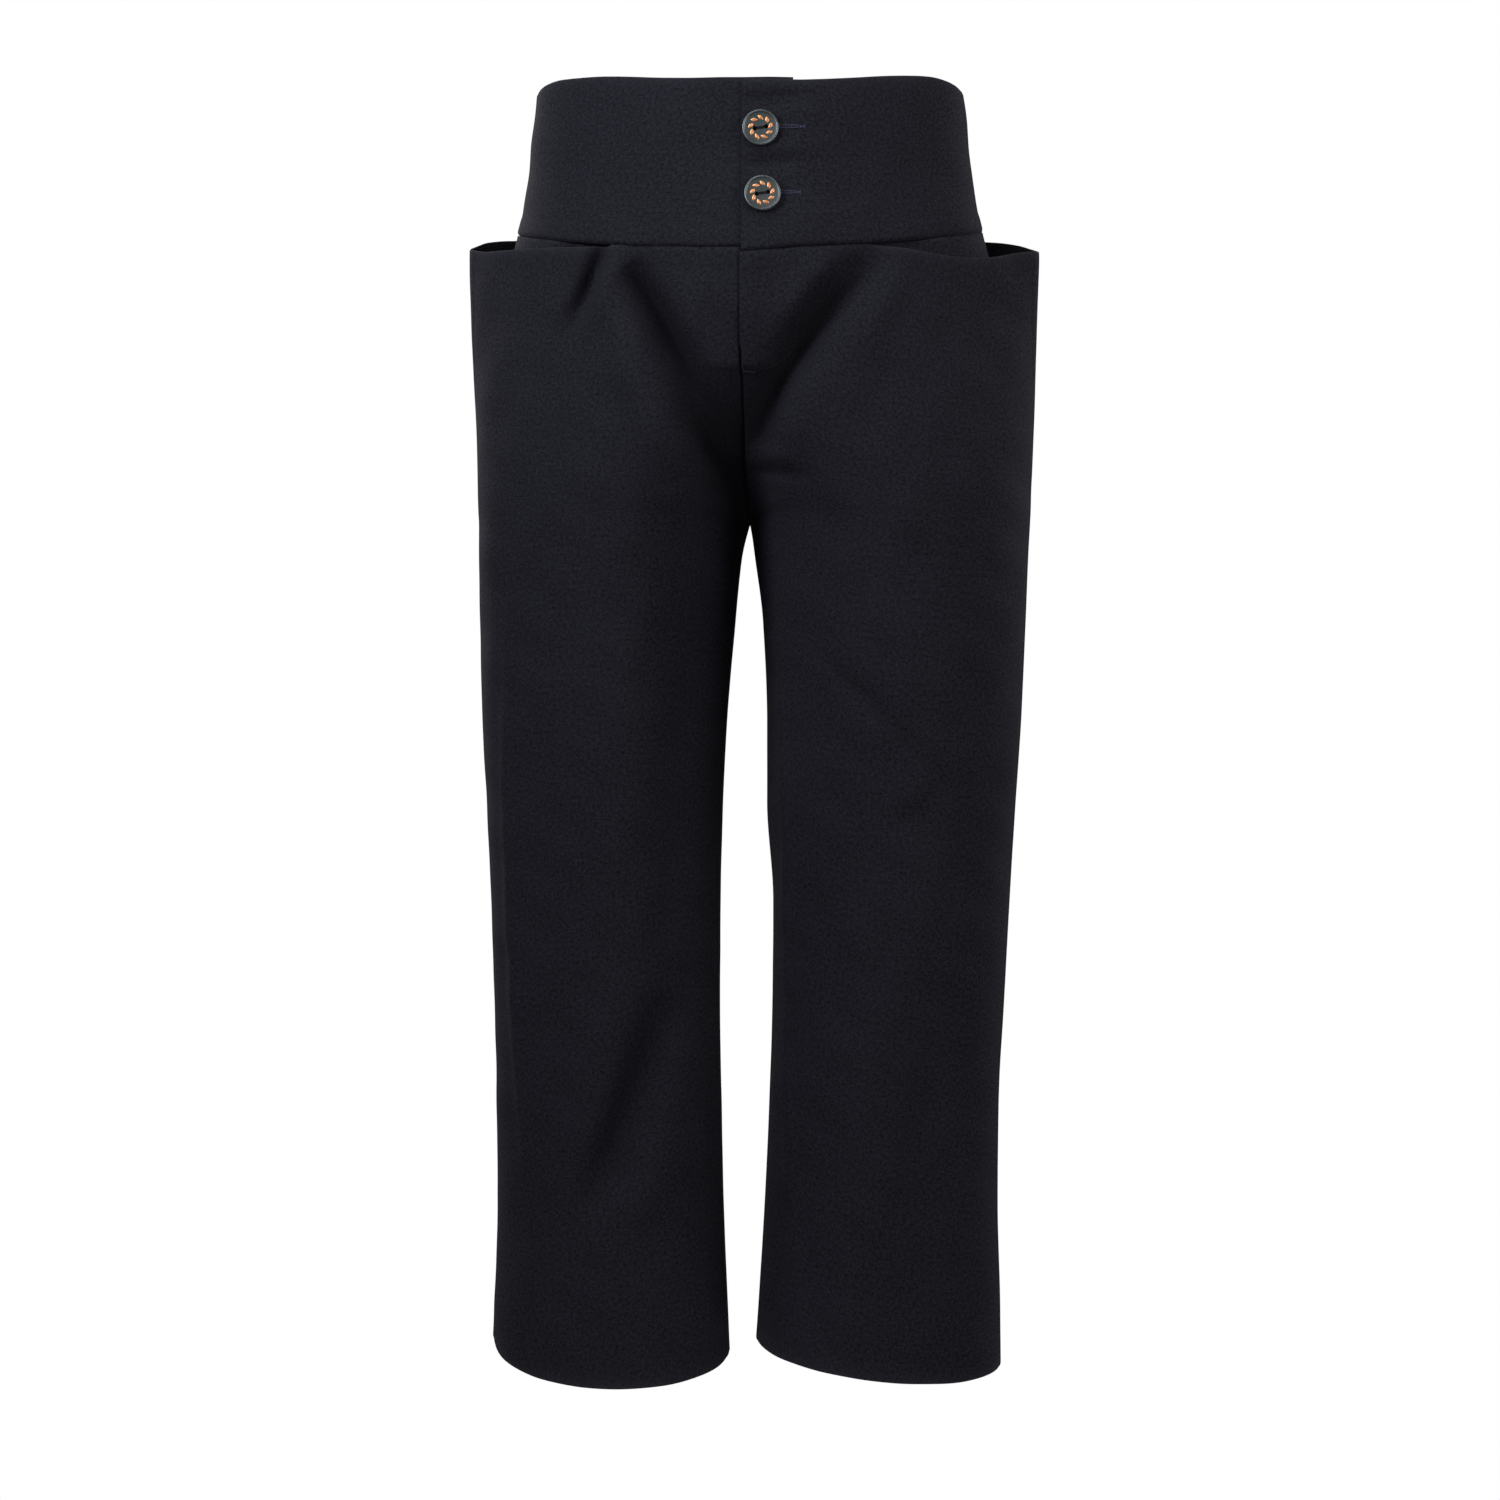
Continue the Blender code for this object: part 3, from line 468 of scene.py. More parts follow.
def top_height(side, face, share):
    name = f"{face}_{'left' if side > 0 else 'right'}"
    height = np.full(share.shape, MOUTH_HEIGHT)
    across = np.abs(leg_point(side, "front", share * end_angle(side, height), height)[..., 0])
    seam = waist_seam_at(face, across) - SEAM_GAP
    if name == "front_left":
        seam = seam - overlap_dip(across)
    mix = smooth_step((across - LIPS[name][0][0]) / (2 * LIP_BLEND) + 0.5)
    return seam * (1 - mix) + lips[name](across)["height"] * mix, mix


def hem_height(side, face, share):
    hem = dict(zip(HEM_NAMES, HEMS[f"{face}_{'left' if side > 0 else 'right'}"]))
    ends = hem["outseam"] * (1 - smooth_step(share)) + hem["inseam"] * smooth_step(share)
    swing = np.sin(np.pi * share ** (np.log(0.5) / np.log(hem["crease_share"])))
    return ends + (hem["crease"] - (hem["outseam"] + hem["inseam"]) / 2) * swing


def panel_heights(side, face, shares, rows):
    top = top_height(side, face, shares)[0][None, :]
    hem = hem_height(side, face, shares)[None, :]
    rows = rows[:, None]
    near_top = np.clip(1 - (rows[0] - rows) / TOP_BLEND, 0, 1) ** ROW_EASE
    near_hem = np.clip(1 - (rows - rows[-1]) / HEM_BLEND, 0, 1) ** ROW_EASE
    return rows + near_top * (top - rows[0]) + near_hem * (hem - rows[-1])


print("extra rows at each edge", len(EDGE_STEPS), "and at the crotch", CROTCH_ROWS[2])

# %% [markdown]
# Cloth has two faces and an edge that is folded, never cut square. The wall below takes the outer face as a
# grid of points, finds how far each lies from the edges, and draws both faces together there in a quarter
# circle. Sewn edges sink into their seam a little, and the layers of allowance under them raise a low flat
# band beside it. This is cheaper than a bevel, and the rows stay where the creases need them.

# %% Distances over a grid of cloth
EDGE_REST = 0.04


def run_lengths(points, axis):
    """Length along a grid's lines from their start, and what is left of it to their end."""
    step = np.linalg.norm(np.diff(points, axis=axis), axis=-1)
    start = np.zeros_like(np.take(step, [0], axis=axis))
    done = np.concatenate([start, np.cumsum(step, axis=axis)], axis=axis)
    return done, np.take(done, [-1], axis=axis) - done


def outward_normals(points, centre):
    normal = np.cross(np.gradient(points, axis=1), np.gradient(points, axis=0))
    normal /= np.maximum(np.linalg.norm(normal, axis=-1, keepdims=True), 1e-9)
    return normal * np.sign(np.sum(normal[..., :2] * (points - [centre, 0, 0])[..., :2]))


def rounding(distance, radius):
    """How far a face draws in towards the middle of the cloth near an edge."""
    near = np.clip(1 - distance / radius, 0, 1)
    return (radius - EDGE_REST) * (1 - np.sqrt(1 - near**2))


print("half a cloth's thickness left at an edge, in mm", EDGE_REST)

# %% Sink a sewn edge and raise the allowance beside it
SEAM_SINK = 0.9
SEAM_SINK_WIDTH = 1.5
ALLOWANCE = 10.0
ALLOWANCE_EDGE = 2.4
ALLOWANCE_RISE = 0.4


def seam_relief(distance, allowance=ALLOWANCE):
    raised = ALLOWANCE_RISE * (1 - smooth_step((distance - allowance) / ALLOWANCE_EDGE))
    return raised - (SEAM_SINK + ALLOWANCE_RISE) * np.exp(-((distance / SEAM_SINK_WIDTH) ** 2))


print("a seam sinks by, in mm", round(float(-seam_relief(np.float64(0))), 2))

# %% Build a cloth wall from its two faces
def cloth_wall(name, outer, inner, grain, wear, crease=None):
    """A closed wall between two grids of points in mm, with a grain map in metres and two masks."""
    rows, columns = outer.shape[:2]
    index = np.arange(rows * columns).reshape(rows, columns)
    a, b, c, d = (part.ravel() for part in (index[:-1, :-1], index[:-1, 1:], index[1:, 1:], index[1:, :-1]))
    size = rows * columns
    front = np.stack([a, b, c, d], axis=1)
    back = np.stack([a, d, c, b], axis=1) + size
    border = np.concatenate([index[0, :-1], index[:-1, -1], index[-1, :0:-1], index[:0:-1, 0]])
    following = np.roll(border, -1)
    rim = np.stack([border, border + size, following + size, following], axis=1)
    points = np.concatenate([outer.reshape(-1, 3), inner.reshape(-1, 3)]) * MM
    faces = np.concatenate([front, back, rim])
    p = points[faces]
    volume = np.sum(p[:, 0] * np.cross(p[:, 1], p[:, 2])) + np.sum(p[:, 0] * np.cross(p[:, 2], p[:, 3]))
    if volume < 0:
        faces = faces[:, ::-1]
    mesh = bpy.data.meshes.new(name)
    mesh.from_pydata(points.tolist(), [], faces.tolist())
    corner = np.zeros(len(mesh.loops), np.int32)
    mesh.loops.foreach_get("vertex_index", corner)
    uv = np.concatenate([grain.reshape(-1, 2)] * 2) * MM
    mesh.uv_layers.new(name="grain").data.foreach_set("uv", uv[corner].astype(np.float32).ravel())
    # The crease mask is painted shade that darkens the base colour in the troughs; the wear mask pales rubbed
    # edges.
    masks = {"wear": wear, "crease": np.zeros(wear.shape) if crease is None else crease}
    for title, values in masks.items():
        mask = mesh.attributes.new(title, "FLOAT", "POINT")
        mask.data.foreach_set("value", np.concatenate([values.ravel()] * 2).astype(np.float32))
    mesh.shade_smooth()
    piece = bpy.data.objects.new(name, mesh)
    bpy.context.scene.collection.objects.link(piece)
    down = outer[1:, :-1] - outer[:-1, :-1]
    across = outer[:-1, 1:] - outer[:-1, :-1]
    area = float(np.linalg.norm(np.cross(down, across), axis=-1).sum()) * MM**2
    print(name, "faces", len(faces), "cloth in square metres", round(area, 4))
    return piece


# %% [markdown]
# Navy twill is woven so that each yarn floats over two and under one, one step further along in each row,
# which draws fine diagonal ribs. They are too fine to model, so a shader group draws them from the grain
# map, which is measured in metres over the cloth and therefore keeps its scale and follows the creases. The
# same group gives the yarns' uneven tone.

# %% A shader group for the twill
RIB_PITCH = 0.0011
YARN_PITCH = 0.0005
RIB_SHARE = 0.35
YARN_SHARE = 0.15
SPECKLE = {"Scale": 450.0, "Detail": 6.0, "Roughness": 0.95}
SPECKLE_SPREAD = 5.6
RELIEF_TONE = 0.3


def group_socket(group, name, kind, default=None, out=False):
    socket = group.interface.new_socket(name=name, in_out="OUTPUT" if out else "INPUT", socket_type=kind)
    if default is not None:
        socket.default_value = default


def set_inputs(tree, node, values):
    """Links each input that is given a socket, and sets the others to the value given."""
    for name, value in values.items():
        if isinstance(value, bpy.types.NodeSocket):
            tree.links.new(value, node.inputs[name])
        else:
            node.inputs[name].default_value = value


def math_node(tree, operation, *values):
    node = tree.nodes.new("ShaderNodeMath")
    node.operation = operation
    set_inputs(tree, node, dict(enumerate(values)))
    return node.outputs[0]


def noise_node(tree, place, settings):
    node = tree.nodes.new("ShaderNodeTexNoise")
    set_inputs(tree, node, {"Vector": place, **settings})
    return node.outputs["Fac"]


def colour_mix(tree, factor, first, second):
    node = tree.nodes.new("ShaderNodeMix")
    node.data_type = "RGBA"
    set_inputs(tree, node, {"Factor": factor, "A": first, "B": second})
    return node.outputs["Result"]


def bump_node(tree, height, strength, distance):
    node = tree.nodes.new("ShaderNodeBump")
    set_inputs(tree, node, {"Height": height, "Strength": strength, "Distance": distance})
    return node.outputs["Normal"]


def new_material(name):
    """A material with its node tree, its shader and the place over the object."""
    material = bpy.data.materials.new(name)
    material.use_nodes = True
    tree = material.node_tree
    place = tree.nodes.new("ShaderNodeTexCoord")
    return material, tree, tree.nodes["Principled BSDF"], place.outputs["Object"]


def sine_wave(tree, run, pitch):
    turns = math_node(tree, "DIVIDE", run, pitch)
    return math_node(tree, "SINE", math_node(tree, "MULTIPLY", turns, 2 * np.pi))


def twill_group():
    """The height and the tone of the weave at a place on the grain map."""
    group = bpy.data.node_groups.new("Twill weave", "ShaderNodeTree")
    group_socket(group, "Grain", "NodeSocketVector")
    group_socket(group, "Rib pitch", "NodeSocketFloat", RIB_PITCH)
    group_socket(group, "Yarn pitch", "NodeSocketFloat", YARN_PITCH)
    group_socket(group, "Height", "NodeSocketFloat", out=True)
    group_socket(group, "Tone", "NodeSocketFloat", out=True)
    ends = group.nodes.new("NodeGroupInput"), group.nodes.new("NodeGroupOutput")
    given = ends[0].outputs
    parts = group.nodes.new("ShaderNodeSeparateXYZ")
    group.links.new(given["Grain"], parts.inputs[0])
    x, y = parts.outputs["X"], parts.outputs["Y"]
    rib = sine_wave(group, math_node(group, "ADD", x, y), given["Rib pitch"])
    yarn = sine_wave(group, x, given["Yarn pitch"])
    rib_part = math_node(group, "MULTIPLY", rib, RIB_SHARE)
    height = math_node(group, "ADD", rib_part, math_node(group, "MULTIPLY", yarn, YARN_SHARE))
    speckle = math_node(group, "SUBTRACT", noise_node(group, given["Grain"], SPECKLE), 0.5)
    spread = math_node(group, "MULTIPLY", speckle, SPECKLE_SPREAD)
    tone = math_node(group, "ADD", math_node(group, "MULTIPLY", height, RELIEF_TONE), spread)
    results = {"Height": math_node(group, "ADD", height, 0.5), "Tone": math_node(group, "ADD", tone, 0.5)}
    set_inputs(group, ends[1], results)
    return group


twill = twill_group()
print("weave group sockets", [item.name for item in twill.interface.items_tree])

# %% [markdown]
# Under studio light this cloth is nearly black with a blue cast. Its yarns are soft, so it has a faint
# sheen at grazing angles and hardly any gloss. Folded edges that hands and chairs rub turn slightly paler,
# and painted shade darkens the base colour in the deepest creases. Both come from masks in the mesh. The
# weave only tilts the surface a little, so it goes through a bump and not into the mesh.

# %% The cloth's material
NAVY_DEEP = (0.0030, 0.0029, 0.0039, 1)
NAVY_PALE = (0.0170, 0.0170, 0.0240, 1)
NAVY_WORN = (0.024, 0.024, 0.031, 1)
# Painted shade: the largest share by which the crease mask darkens the cloth's base colour.
CREASE_PAINTED_SHADE = 0.65
CLOTH_FINISH = {
    "Specular IOR Level": 0.03,
    "Sheen Weight": 0.012,
    "Sheen Roughness": 0.35,
    "Sheen Tint": (0.45, 0.45, 0.6, 1),
}
CLOUDS = {"Scale": 14.0, "Detail": 4.0}
CLOUD_SHARE = 0.25
ROUGHEST = 0.98
ROUGHNESS_DROP = 0.15
WEAVE_BUMP = (0.5, 0.0002)


def mask_value(tree, title):
    node = tree.nodes.new("ShaderNodeAttribute")
    node.attribute_name = title
    return node.outputs["Fac"]


def cloth_material():
    material, tree, shader, place = new_material("navy_twill")
    grain = tree.nodes.new("ShaderNodeUVMap")
    grain.uv_map = "grain"
    weave = tree.nodes.new("ShaderNodeGroup")
    weave.node_tree = twill
    tree.links.new(grain.outputs["UV"], weave.inputs["Grain"])
    clouds = noise_node(tree, place, CLOUDS)
    tone = math_node(tree, "MULTIPLY", weave.outputs["Tone"], 1 - CLOUD_SHARE)
    tone = math_node(tree, "ADD", tone, math_node(tree, "MULTIPLY", clouds, CLOUD_SHARE))
    # Painted shade: the crease mask darkens the base colour in the deepest troughs.
    painted_shade = math_node(tree, "MULTIPLY", mask_value(tree, "crease"), CREASE_PAINTED_SHADE)
    tone = math_node(tree, "MULTIPLY", tone, math_node(tree, "SUBTRACT", 1.0, painted_shade))
    yarn = colour_mix(tree, tone, NAVY_DEEP, NAVY_PALE)
    rubbed = math_node(tree, "MULTIPLY", mask_value(tree, "wear"), clouds)
    smoother = math_node(tree, "MULTIPLY", tone, ROUGHNESS_DROP)
    look = {
        "Base Color": colour_mix(tree, rubbed, yarn, NAVY_WORN),
        "Roughness": math_node(tree, "SUBTRACT", ROUGHEST, smoother),
        "Normal": bump_node(tree, weave.outputs["Height"], *WEAVE_BUMP),
    }
    set_inputs(tree, shader, {**CLOTH_FINISH, **look})
    return material


navy_twill = cloth_material()
print("material", navy_twill.name, "nodes", len(navy_twill.node_tree.nodes))

# %% [markdown]
# Four panels make the legs: two fronts and two backs, each from the outseam round to the centre seam and
# down the inseam. The left front laps over the right one along the fly, so its folded edge stands a cloth's
# thickness higher there. Sewn edges meet on the centre plane and on the plane of the side seams. Only the
# outer face is drawn in at them: the full cloth behind keeps light from showing through the seam.

# %% Cut a leg panel
LEG_CLOTH = 1.5
LEG_AXIS = 90.0
PANEL_GRID = {"front": (280, 112, 275.0), "back": (220, 84, 285.0)}
HEM_LAYER = 0.9
FLY_END = -186.0
FLY_FADE = 10.0
FLY_LIFT = 1.9
FLY_LAP = 1.1
FLY_SPREAD = 30.0
FLY_LAP_SPREAD = 6.0
TURN_UP_FADE = 1.2
HEM_WEAR = 4.0
LIP_WEAR = 3.0
# The crease mask paints shade into the troughs, 4 mm up and 4 mm towards the wearer's right of each, full at
# 13 mm deep.
PAINTED_SHADE_SHIFT = 4.0
PAINTED_SHADE_FULL_DEPTH = 13.0


def keep_clear(points, side, face):
    """Holds points on their own side of the centre plane and of the side seams' plane."""
    held = points.copy()
    away = -1 if face == "front" else 1
    held[..., 0] = side * np.maximum(side * held[..., 0], SEAM_GAP / 2)
    held[..., 1] = away * np.maximum(away * held[..., 1], SEAM_GAP / 2)
    return held


def close_seams(points, side, face):
    """Brings the sewn edges onto the planes where the panels meet."""
    away = -1 if face == "front" else 1
    above = points[:, -1, 2] > CROTCH_HEIGHT
    points[:, 0, 1] = away * SEAM_GAP / 2
    points[above, -1, 0] = side * SEAM_GAP / 2
    points[~above, -1, 1] = away * SEAM_GAP / 2
    return points


def lap_fly(points):
    """Lifts the left front's centre edge over the right one, down to the bar tack."""
    x, z = points[..., 0], points[..., 2]
    lifted = smooth_step((z - FLY_END) / FLY_FADE + 0.5)
    lapped = smooth_step((z - FLY_END) / FLY_FADE - 1.0)
    points[..., 1] -= FLY_LIFT * lifted * (1 - smooth_step(x / FLY_SPREAD))
    points[..., 0] -= FLY_LAP * lapped * (1 - smooth_step(x / FLY_LAP_SPREAD))
    return points


def leg_panel(side, face):
    name = f"{face}_{'left' if side > 0 else 'right'}"
    row_count, column_count, length = PANEL_GRID[face]
    shares = panel_shares(column_count, length)
    heights = panel_heights(side, face, shares, panel_rows(row_count))
    middle = leg_surface(side, face, shares * end_angle(side, heights), heights)
    from_outseam, from_inner = run_lengths(middle, 1)
    from_top, from_hem = run_lengths(middle, 0)
    normal = outward_normals(middle, side * LEG_AXIS)
    free_top = top_height(side, face, shares)[1][None, :]
    relief = seam_relief(from_outseam) + seam_relief(from_inner) + seam_relief(from_top) * (1 - free_top)
    edge = np.minimum(np.minimum(from_outseam, from_inner), np.minimum(from_top, from_hem))
    free_edge = np.where(free_top > 0.5, np.minimum(from_top, from_hem), from_hem)
    drawn_in, drawn_in_behind = rounding(edge, LEG_CLOTH / 2), rounding(free_edge, LEG_CLOTH / 2)
    turned_up = 1 - smooth_step((from_hem - TURN_UP) / TURN_UP_FADE + 0.5)
    outer = middle + (relief - drawn_in)[..., None] * normal
    inner = middle - (LEG_CLOTH + HEM_LAYER * turned_up - drawn_in_behind - relief)[..., None] * normal
    inner[..., 2] = np.minimum(inner[..., 2], heights[0])
    outer, inner = keep_clear(outer, side, face), keep_clear(inner, side, face)
    outer, inner = close_seams(outer, side, face), close_seams(inner, side, face)
    if name == "front_left":
        outer, inner = lap_fly(outer), lap_fly(inner)
    grain = np.stack([from_outseam, -from_top], axis=-1)
    rubbed = np.exp(-from_hem / HEM_WEAR) + np.exp(-from_top / LIP_WEAR) * free_top
    # Painted shade: the crease mask grows with the trough depth and is set off to the flank that the key
    # light leaves in shade.
    trough = -fold_height(face, middle[..., 0] + PAINTED_SHADE_SHIFT, middle[..., 2] - PAINTED_SHADE_SHIFT)
    crease = np.clip(trough / PAINTED_SHADE_FULL_DEPTH, 0, 1)
    piece = cloth_wall(f"{name}_cloth", outer, inner, grain, np.clip(rubbed, 0, 1), crease)
    piece.data.materials.append(navy_twill)
    return piece


panels = {}
for side, side_name in ((1, "left"), (-1, "right")):
    for face in ("front", "back"):
        panels[f"{face}_{side_name}"] = leg_panel(side, face)

# %% [markdown]
# A pouch pocket hangs inside each hip. Only its inner side shows, through the open mouth: it drops from the
# waist seam against the body and swings out to meet the leg at its floor. It is made from the leg's own
# surface, moved in, so that it can't cut through the panels in front of it and behind it.

# %% Cut the pockets
POCKET_CLOTH = 1.2
POCKET_EDGE = 78.0
POCKET_FLOOR = -236.0
POCKET_FLARE = -196.0
POCKET_CLEARANCE = 0.5
POCKET_SIDE_FADE = 0.4
POCKET_BERTH = 18.0
POCKET_BERTH_SHARES = (-1, -0.5, 0, 0.5, 1)
POCKET_ROOM = 1.6
POCKET_GRID = (60, 80)


def inside_leg(side, face, point, inset):
    """Holds points of a pocket inside the cloth of the leg panel in front of or behind them."""
    ring = leg_ring[side](point[..., 2])
    from_middle = np.abs(point[..., 0]) - ring["middle"]
    cosine = np.clip(from_middle / half_width(ring, from_middle), -1, 1)
    steps = POCKET_BERTH * np.array(POCKET_BERTH_SHARES)
    beside = [fold_height(face, point[..., 0] + step, point[..., 2]) for step in steps]
    limit = leg_depth(ring, face, np.sqrt(1 - cosine**2)) + np.min(beside, axis=0) - inset - POCKET_ROOM
    away = -1 if face == "front" else 1
    held = point.copy()
    held[..., 1] = away * np.minimum(away * point[..., 1], limit)
    return held


def hip_pocket(side):
    reach = np.arccos(POCKET_EDGE / leg_ring[side](MOUTH_HEIGHT)["outer"])
    hip_reach = np.arccos(POCKET_EDGE / band_ring(MOUTH_HEIGHT)["half_width"])
    rows, columns = POCKET_GRID
    turn = np.linspace(-1, 1, columns + 1)
    t = np.linspace(0, 1, rows + 1)[:, None]
    inset = LEG_CLOTH + SEAM_GAP + POCKET_CLEARANCE
    halves = []
    for face, part in (("back", turn[turn < 0]), ("front", turn[turn >= 0])):
        angle, hip_angle = np.abs(part) * reach, np.abs(part) * hip_reach
        heights = (waist_seam(face, np.cos(hip_angle)) - SEAM_GAP) * (1 - t) + POCKET_FLOOR * t
        on_leg = leg_surface(side, face, angle + 0 * heights, heights, inset)
        ring = hip_ring(heights)
        away = -1 if face == "front" else 1
        across = side * (ring["half_width"] - SEAM_GAP) * np.cos(hip_angle)
        on_hip = np.stack([across, away * (ring[face] - SEAM_GAP) * np.sin(hip_angle), heights], axis=-1)
        above_floor = smooth_step((heights - POCKET_FLOOR) / (POCKET_FLARE - POCKET_FLOOR))
        free = above_floor * smooth_step((1 - np.abs(part)) / POCKET_SIDE_FADE)
        point = on_leg * (1 - free[..., None]) + on_hip * free[..., None]
        halves.append(inside_leg(side, face, point, inset))
    outer = np.concatenate(halves, axis=1)
    from_back, _ = run_lengths(outer, 1)
    from_top, _ = run_lengths(outer, 0)
    inner = outer - POCKET_CLOTH * outward_normals(outer, 0.0)
    grain = np.stack([from_back, -from_top], axis=-1)
    name = f"pocket_{'left' if side > 0 else 'right'}"
    piece = cloth_wall(f"{name}_cloth", outer, inner, grain, np.zeros(outer.shape[:2]))
    piece.data.materials.append(navy_twill)
    return piece


pockets = {f"pocket_{'left' if side > 0 else 'right'}": hip_pocket(side) for side in (1, -1)}

# %% [markdown]
# The waistband is deep and contoured: narrower at the top than at the seam, so that it sits on the waist
# without a belt. It has a left front, a right front and a back. The left front laps over the right one,
# which reaches a little further under it, and shows as a second edge above the first.

# %% Cut the waistband
BAND_CLOTH = 2.5
BAND_TOP = -1.0
BAND_TOPS = (
    (0.0, -3.0), (0.25, -2.7), (0.35, -2.1), (0.48, -0.5), (0.65, 2.5), (0.76, 4.3), (0.82, 5.3), (0.88, 5.9),
    (0.93, 5.4), (0.97, 4.3), (0.99, 3.1), (1.0, 1.4),
)
band_top = smooth_table(("cosine", "height"), BAND_TOPS)
UNDERLAP_REACH = 35.0
UNDERLAP_RISE = 1.9
UNDERLAP_RISE_SPREAD = 70.0
UNDERLAP_SETTLE = 4.0
OVERLAP_LIFT = 1.5
OVERLAP_SPREAD = 60.0
BAND_ROWS = 44
BAND_RADIUS = 125.0
BAND_RIPPLE = 0.6
BAND_EDGE_STEPS = (0.0, 0.08, 0.3, 0.65, 1.1, 1.7, 2.5)


def overlap_lift(x):
    return OVERLAP_LIFT * (1 - smooth_step((np.abs(x) - UNDERLAP_REACH) / OVERLAP_SPREAD))


def underlap_rise(x):
    return UNDERLAP_RISE * (1 - smooth_step(np.abs(x) / UNDERLAP_RISE_SPREAD - 1))


def underlap_lift(x):
    sunk = BAND_CLOTH + SEAM_GAP - OVERLAP_LIFT
    return -sunk * smooth_step((x + OVERLAP_SPREAD) / (OVERLAP_SPREAD - UNDERLAP_SETTLE))


def no_lift(x):
    return 0 * x


def edged(start, end, length, steps, count):
    """Places from start to end, closest at both, for a run of the given length in mm."""
    near = np.array(steps) / length
    shares = np.unique(np.concatenate([near, np.linspace(near[-1], 1 - near[-1], count), 1 - near]))
    return start + (end - start) * shares


def band_piece(name, face, start, end, columns, lift=no_lift, rise=no_lift, dip=no_lift, creased=False):
    angles = edged(start, end, abs(end - start) * BAND_RADIUS, BAND_EDGE_STEPS, columns)
    across = band_ring(SIDE_SEAM_DROP)["half_width"] * np.cos(angles)
    top = band_top(np.abs(np.cos(angles)))["height"] + rise(across)
    bottom = waist_seam(face, np.cos(angles)) - dip(across)
    t = edged(0.0, 1.0, BAND_TOP - SIDE_SEAM_DROP, BAND_EDGE_STEPS, BAND_ROWS)[:, None]
    heights = top * (1 - t) + bottom * t
    ring = band_ring(heights)
    away = -1 if face == "front" else 1
    x = ring["half_width"] * np.cos(angles)
    y = away * ring[face] * np.sin(angles) - lift(x)
    middle = np.stack([x, y, heights], axis=-1)
    normal = outward_normals(middle, 0.0)
    from_start, from_end = run_lengths(middle, 1)
    from_top, from_seam = run_lengths(middle, 0)
    side_seam = from_start if name != "waistband_back" else np.minimum(from_start, from_end)
    relief = seam_relief(from_seam) + seam_relief(side_seam) + ripple_height(x, heights) * BAND_RIPPLE
    if creased:
        relief = relief + fold_height("band", x, heights)
    edge = np.minimum(np.minimum(from_start, from_end), np.minimum(from_top, from_seam))
    drawn_in = rounding(edge, BAND_CLOTH / 2)
    outer = middle + (relief - drawn_in)[..., None] * normal
    inner = middle - (BAND_CLOTH - drawn_in - relief)[..., None] * normal
    for skin in (outer, inner):
        skin[..., 1] = away * np.maximum(away * skin[..., 1], SEAM_GAP / 2)
        skin[:, 0, 1] = away * SEAM_GAP / 2
        if face == "back":
            skin[:, -1, 1] = away * SEAM_GAP / 2
    grain = np.stack([from_start, -from_top], axis=-1)
    rubbed = np.clip(np.exp(-from_top / LIP_WEAR), 0, 1)
    piece = cloth_wall(f"{name}_cloth", outer, inner, grain, rubbed)
    piece.data.materials.append(navy_twill)
    return piece


reach_angle = np.arccos(UNDERLAP_REACH / float(band_ring(SIDE_SEAM_DROP)["half_width"]))
bands = {
    "waistband_front_left": band_piece(
        "waistband_front_left", "front", 0.0, np.pi / 2, 100, lift=overlap_lift, dip=overlap_dip, creased=True
    ),
    "waistband_front_right": band_piece(
        "waistband_front_right", "front", np.pi, reach_angle, 120, lift=underlap_lift, rise=underlap_rise
    ),
    "waistband_back": band_piece("waistband_back", "back", 0.0, np.pi, 170),
}

# %% [markdown]
# Sewing is small but it is what makes a garment look made. Every stitch is the same short rounded strand,
# so a Geometry Nodes tree sets one strand on each point of a row, turned along the row and flat to the
# cloth. The points carry both directions as attributes, and a seeded lean keeps the row from looking like a
# machine part.

# %% Steps that both trees share
def leaned_turn(tree, turn, lean):
    """Leans a turn by the angles given, about its own axes."""
    as_turn = tree.nodes.new("FunctionNodeEulerToRotation")
    leaned = tree.nodes.new("FunctionNodeRotateRotation")
    leaned.rotation_space = "LOCAL"
    set_inputs(tree, as_turn, {"Euler": lean})
    set_inputs(tree, leaned, {"Rotation": turn, "Rotate By": as_turn.outputs["Rotation"]})
    return leaned.outputs["Rotation"]


def put_out(tree, points, copy, turn, material, made):
    """Sets a copy on each point, makes the copies real, and puts them out smooth and with their material."""
    placed = tree.nodes.new("GeometryNodeInstanceOnPoints")
    set_inputs(tree, placed, {"Points": points, "Instance": copy, "Rotation": turn})
    geometry = placed.outputs["Instances"]
    for kind in ("GeometryNodeRealizeInstances", "GeometryNodeSetShadeSmooth", "GeometryNodeSetMaterial"):
        step = tree.nodes.new(kind)
        set_inputs(tree, step, {"Geometry": geometry})
        geometry = step.outputs["Geometry"]
    set_inputs(tree, step, {"Material": material})
    set_inputs(tree, made, {"Geometry": geometry})


print("shared steps", leaned_turn.__name__, put_out.__name__)

# %% Build the stitch tree
STRAND = {"Segments": 6, "Rings": 5, "Radius": 0.5}
STITCH_SIZES = {"Length": 0.002, "Width": 0.0006, "Height": 0.0004, "Lean": 0.08}
STITCH_SEED = 5


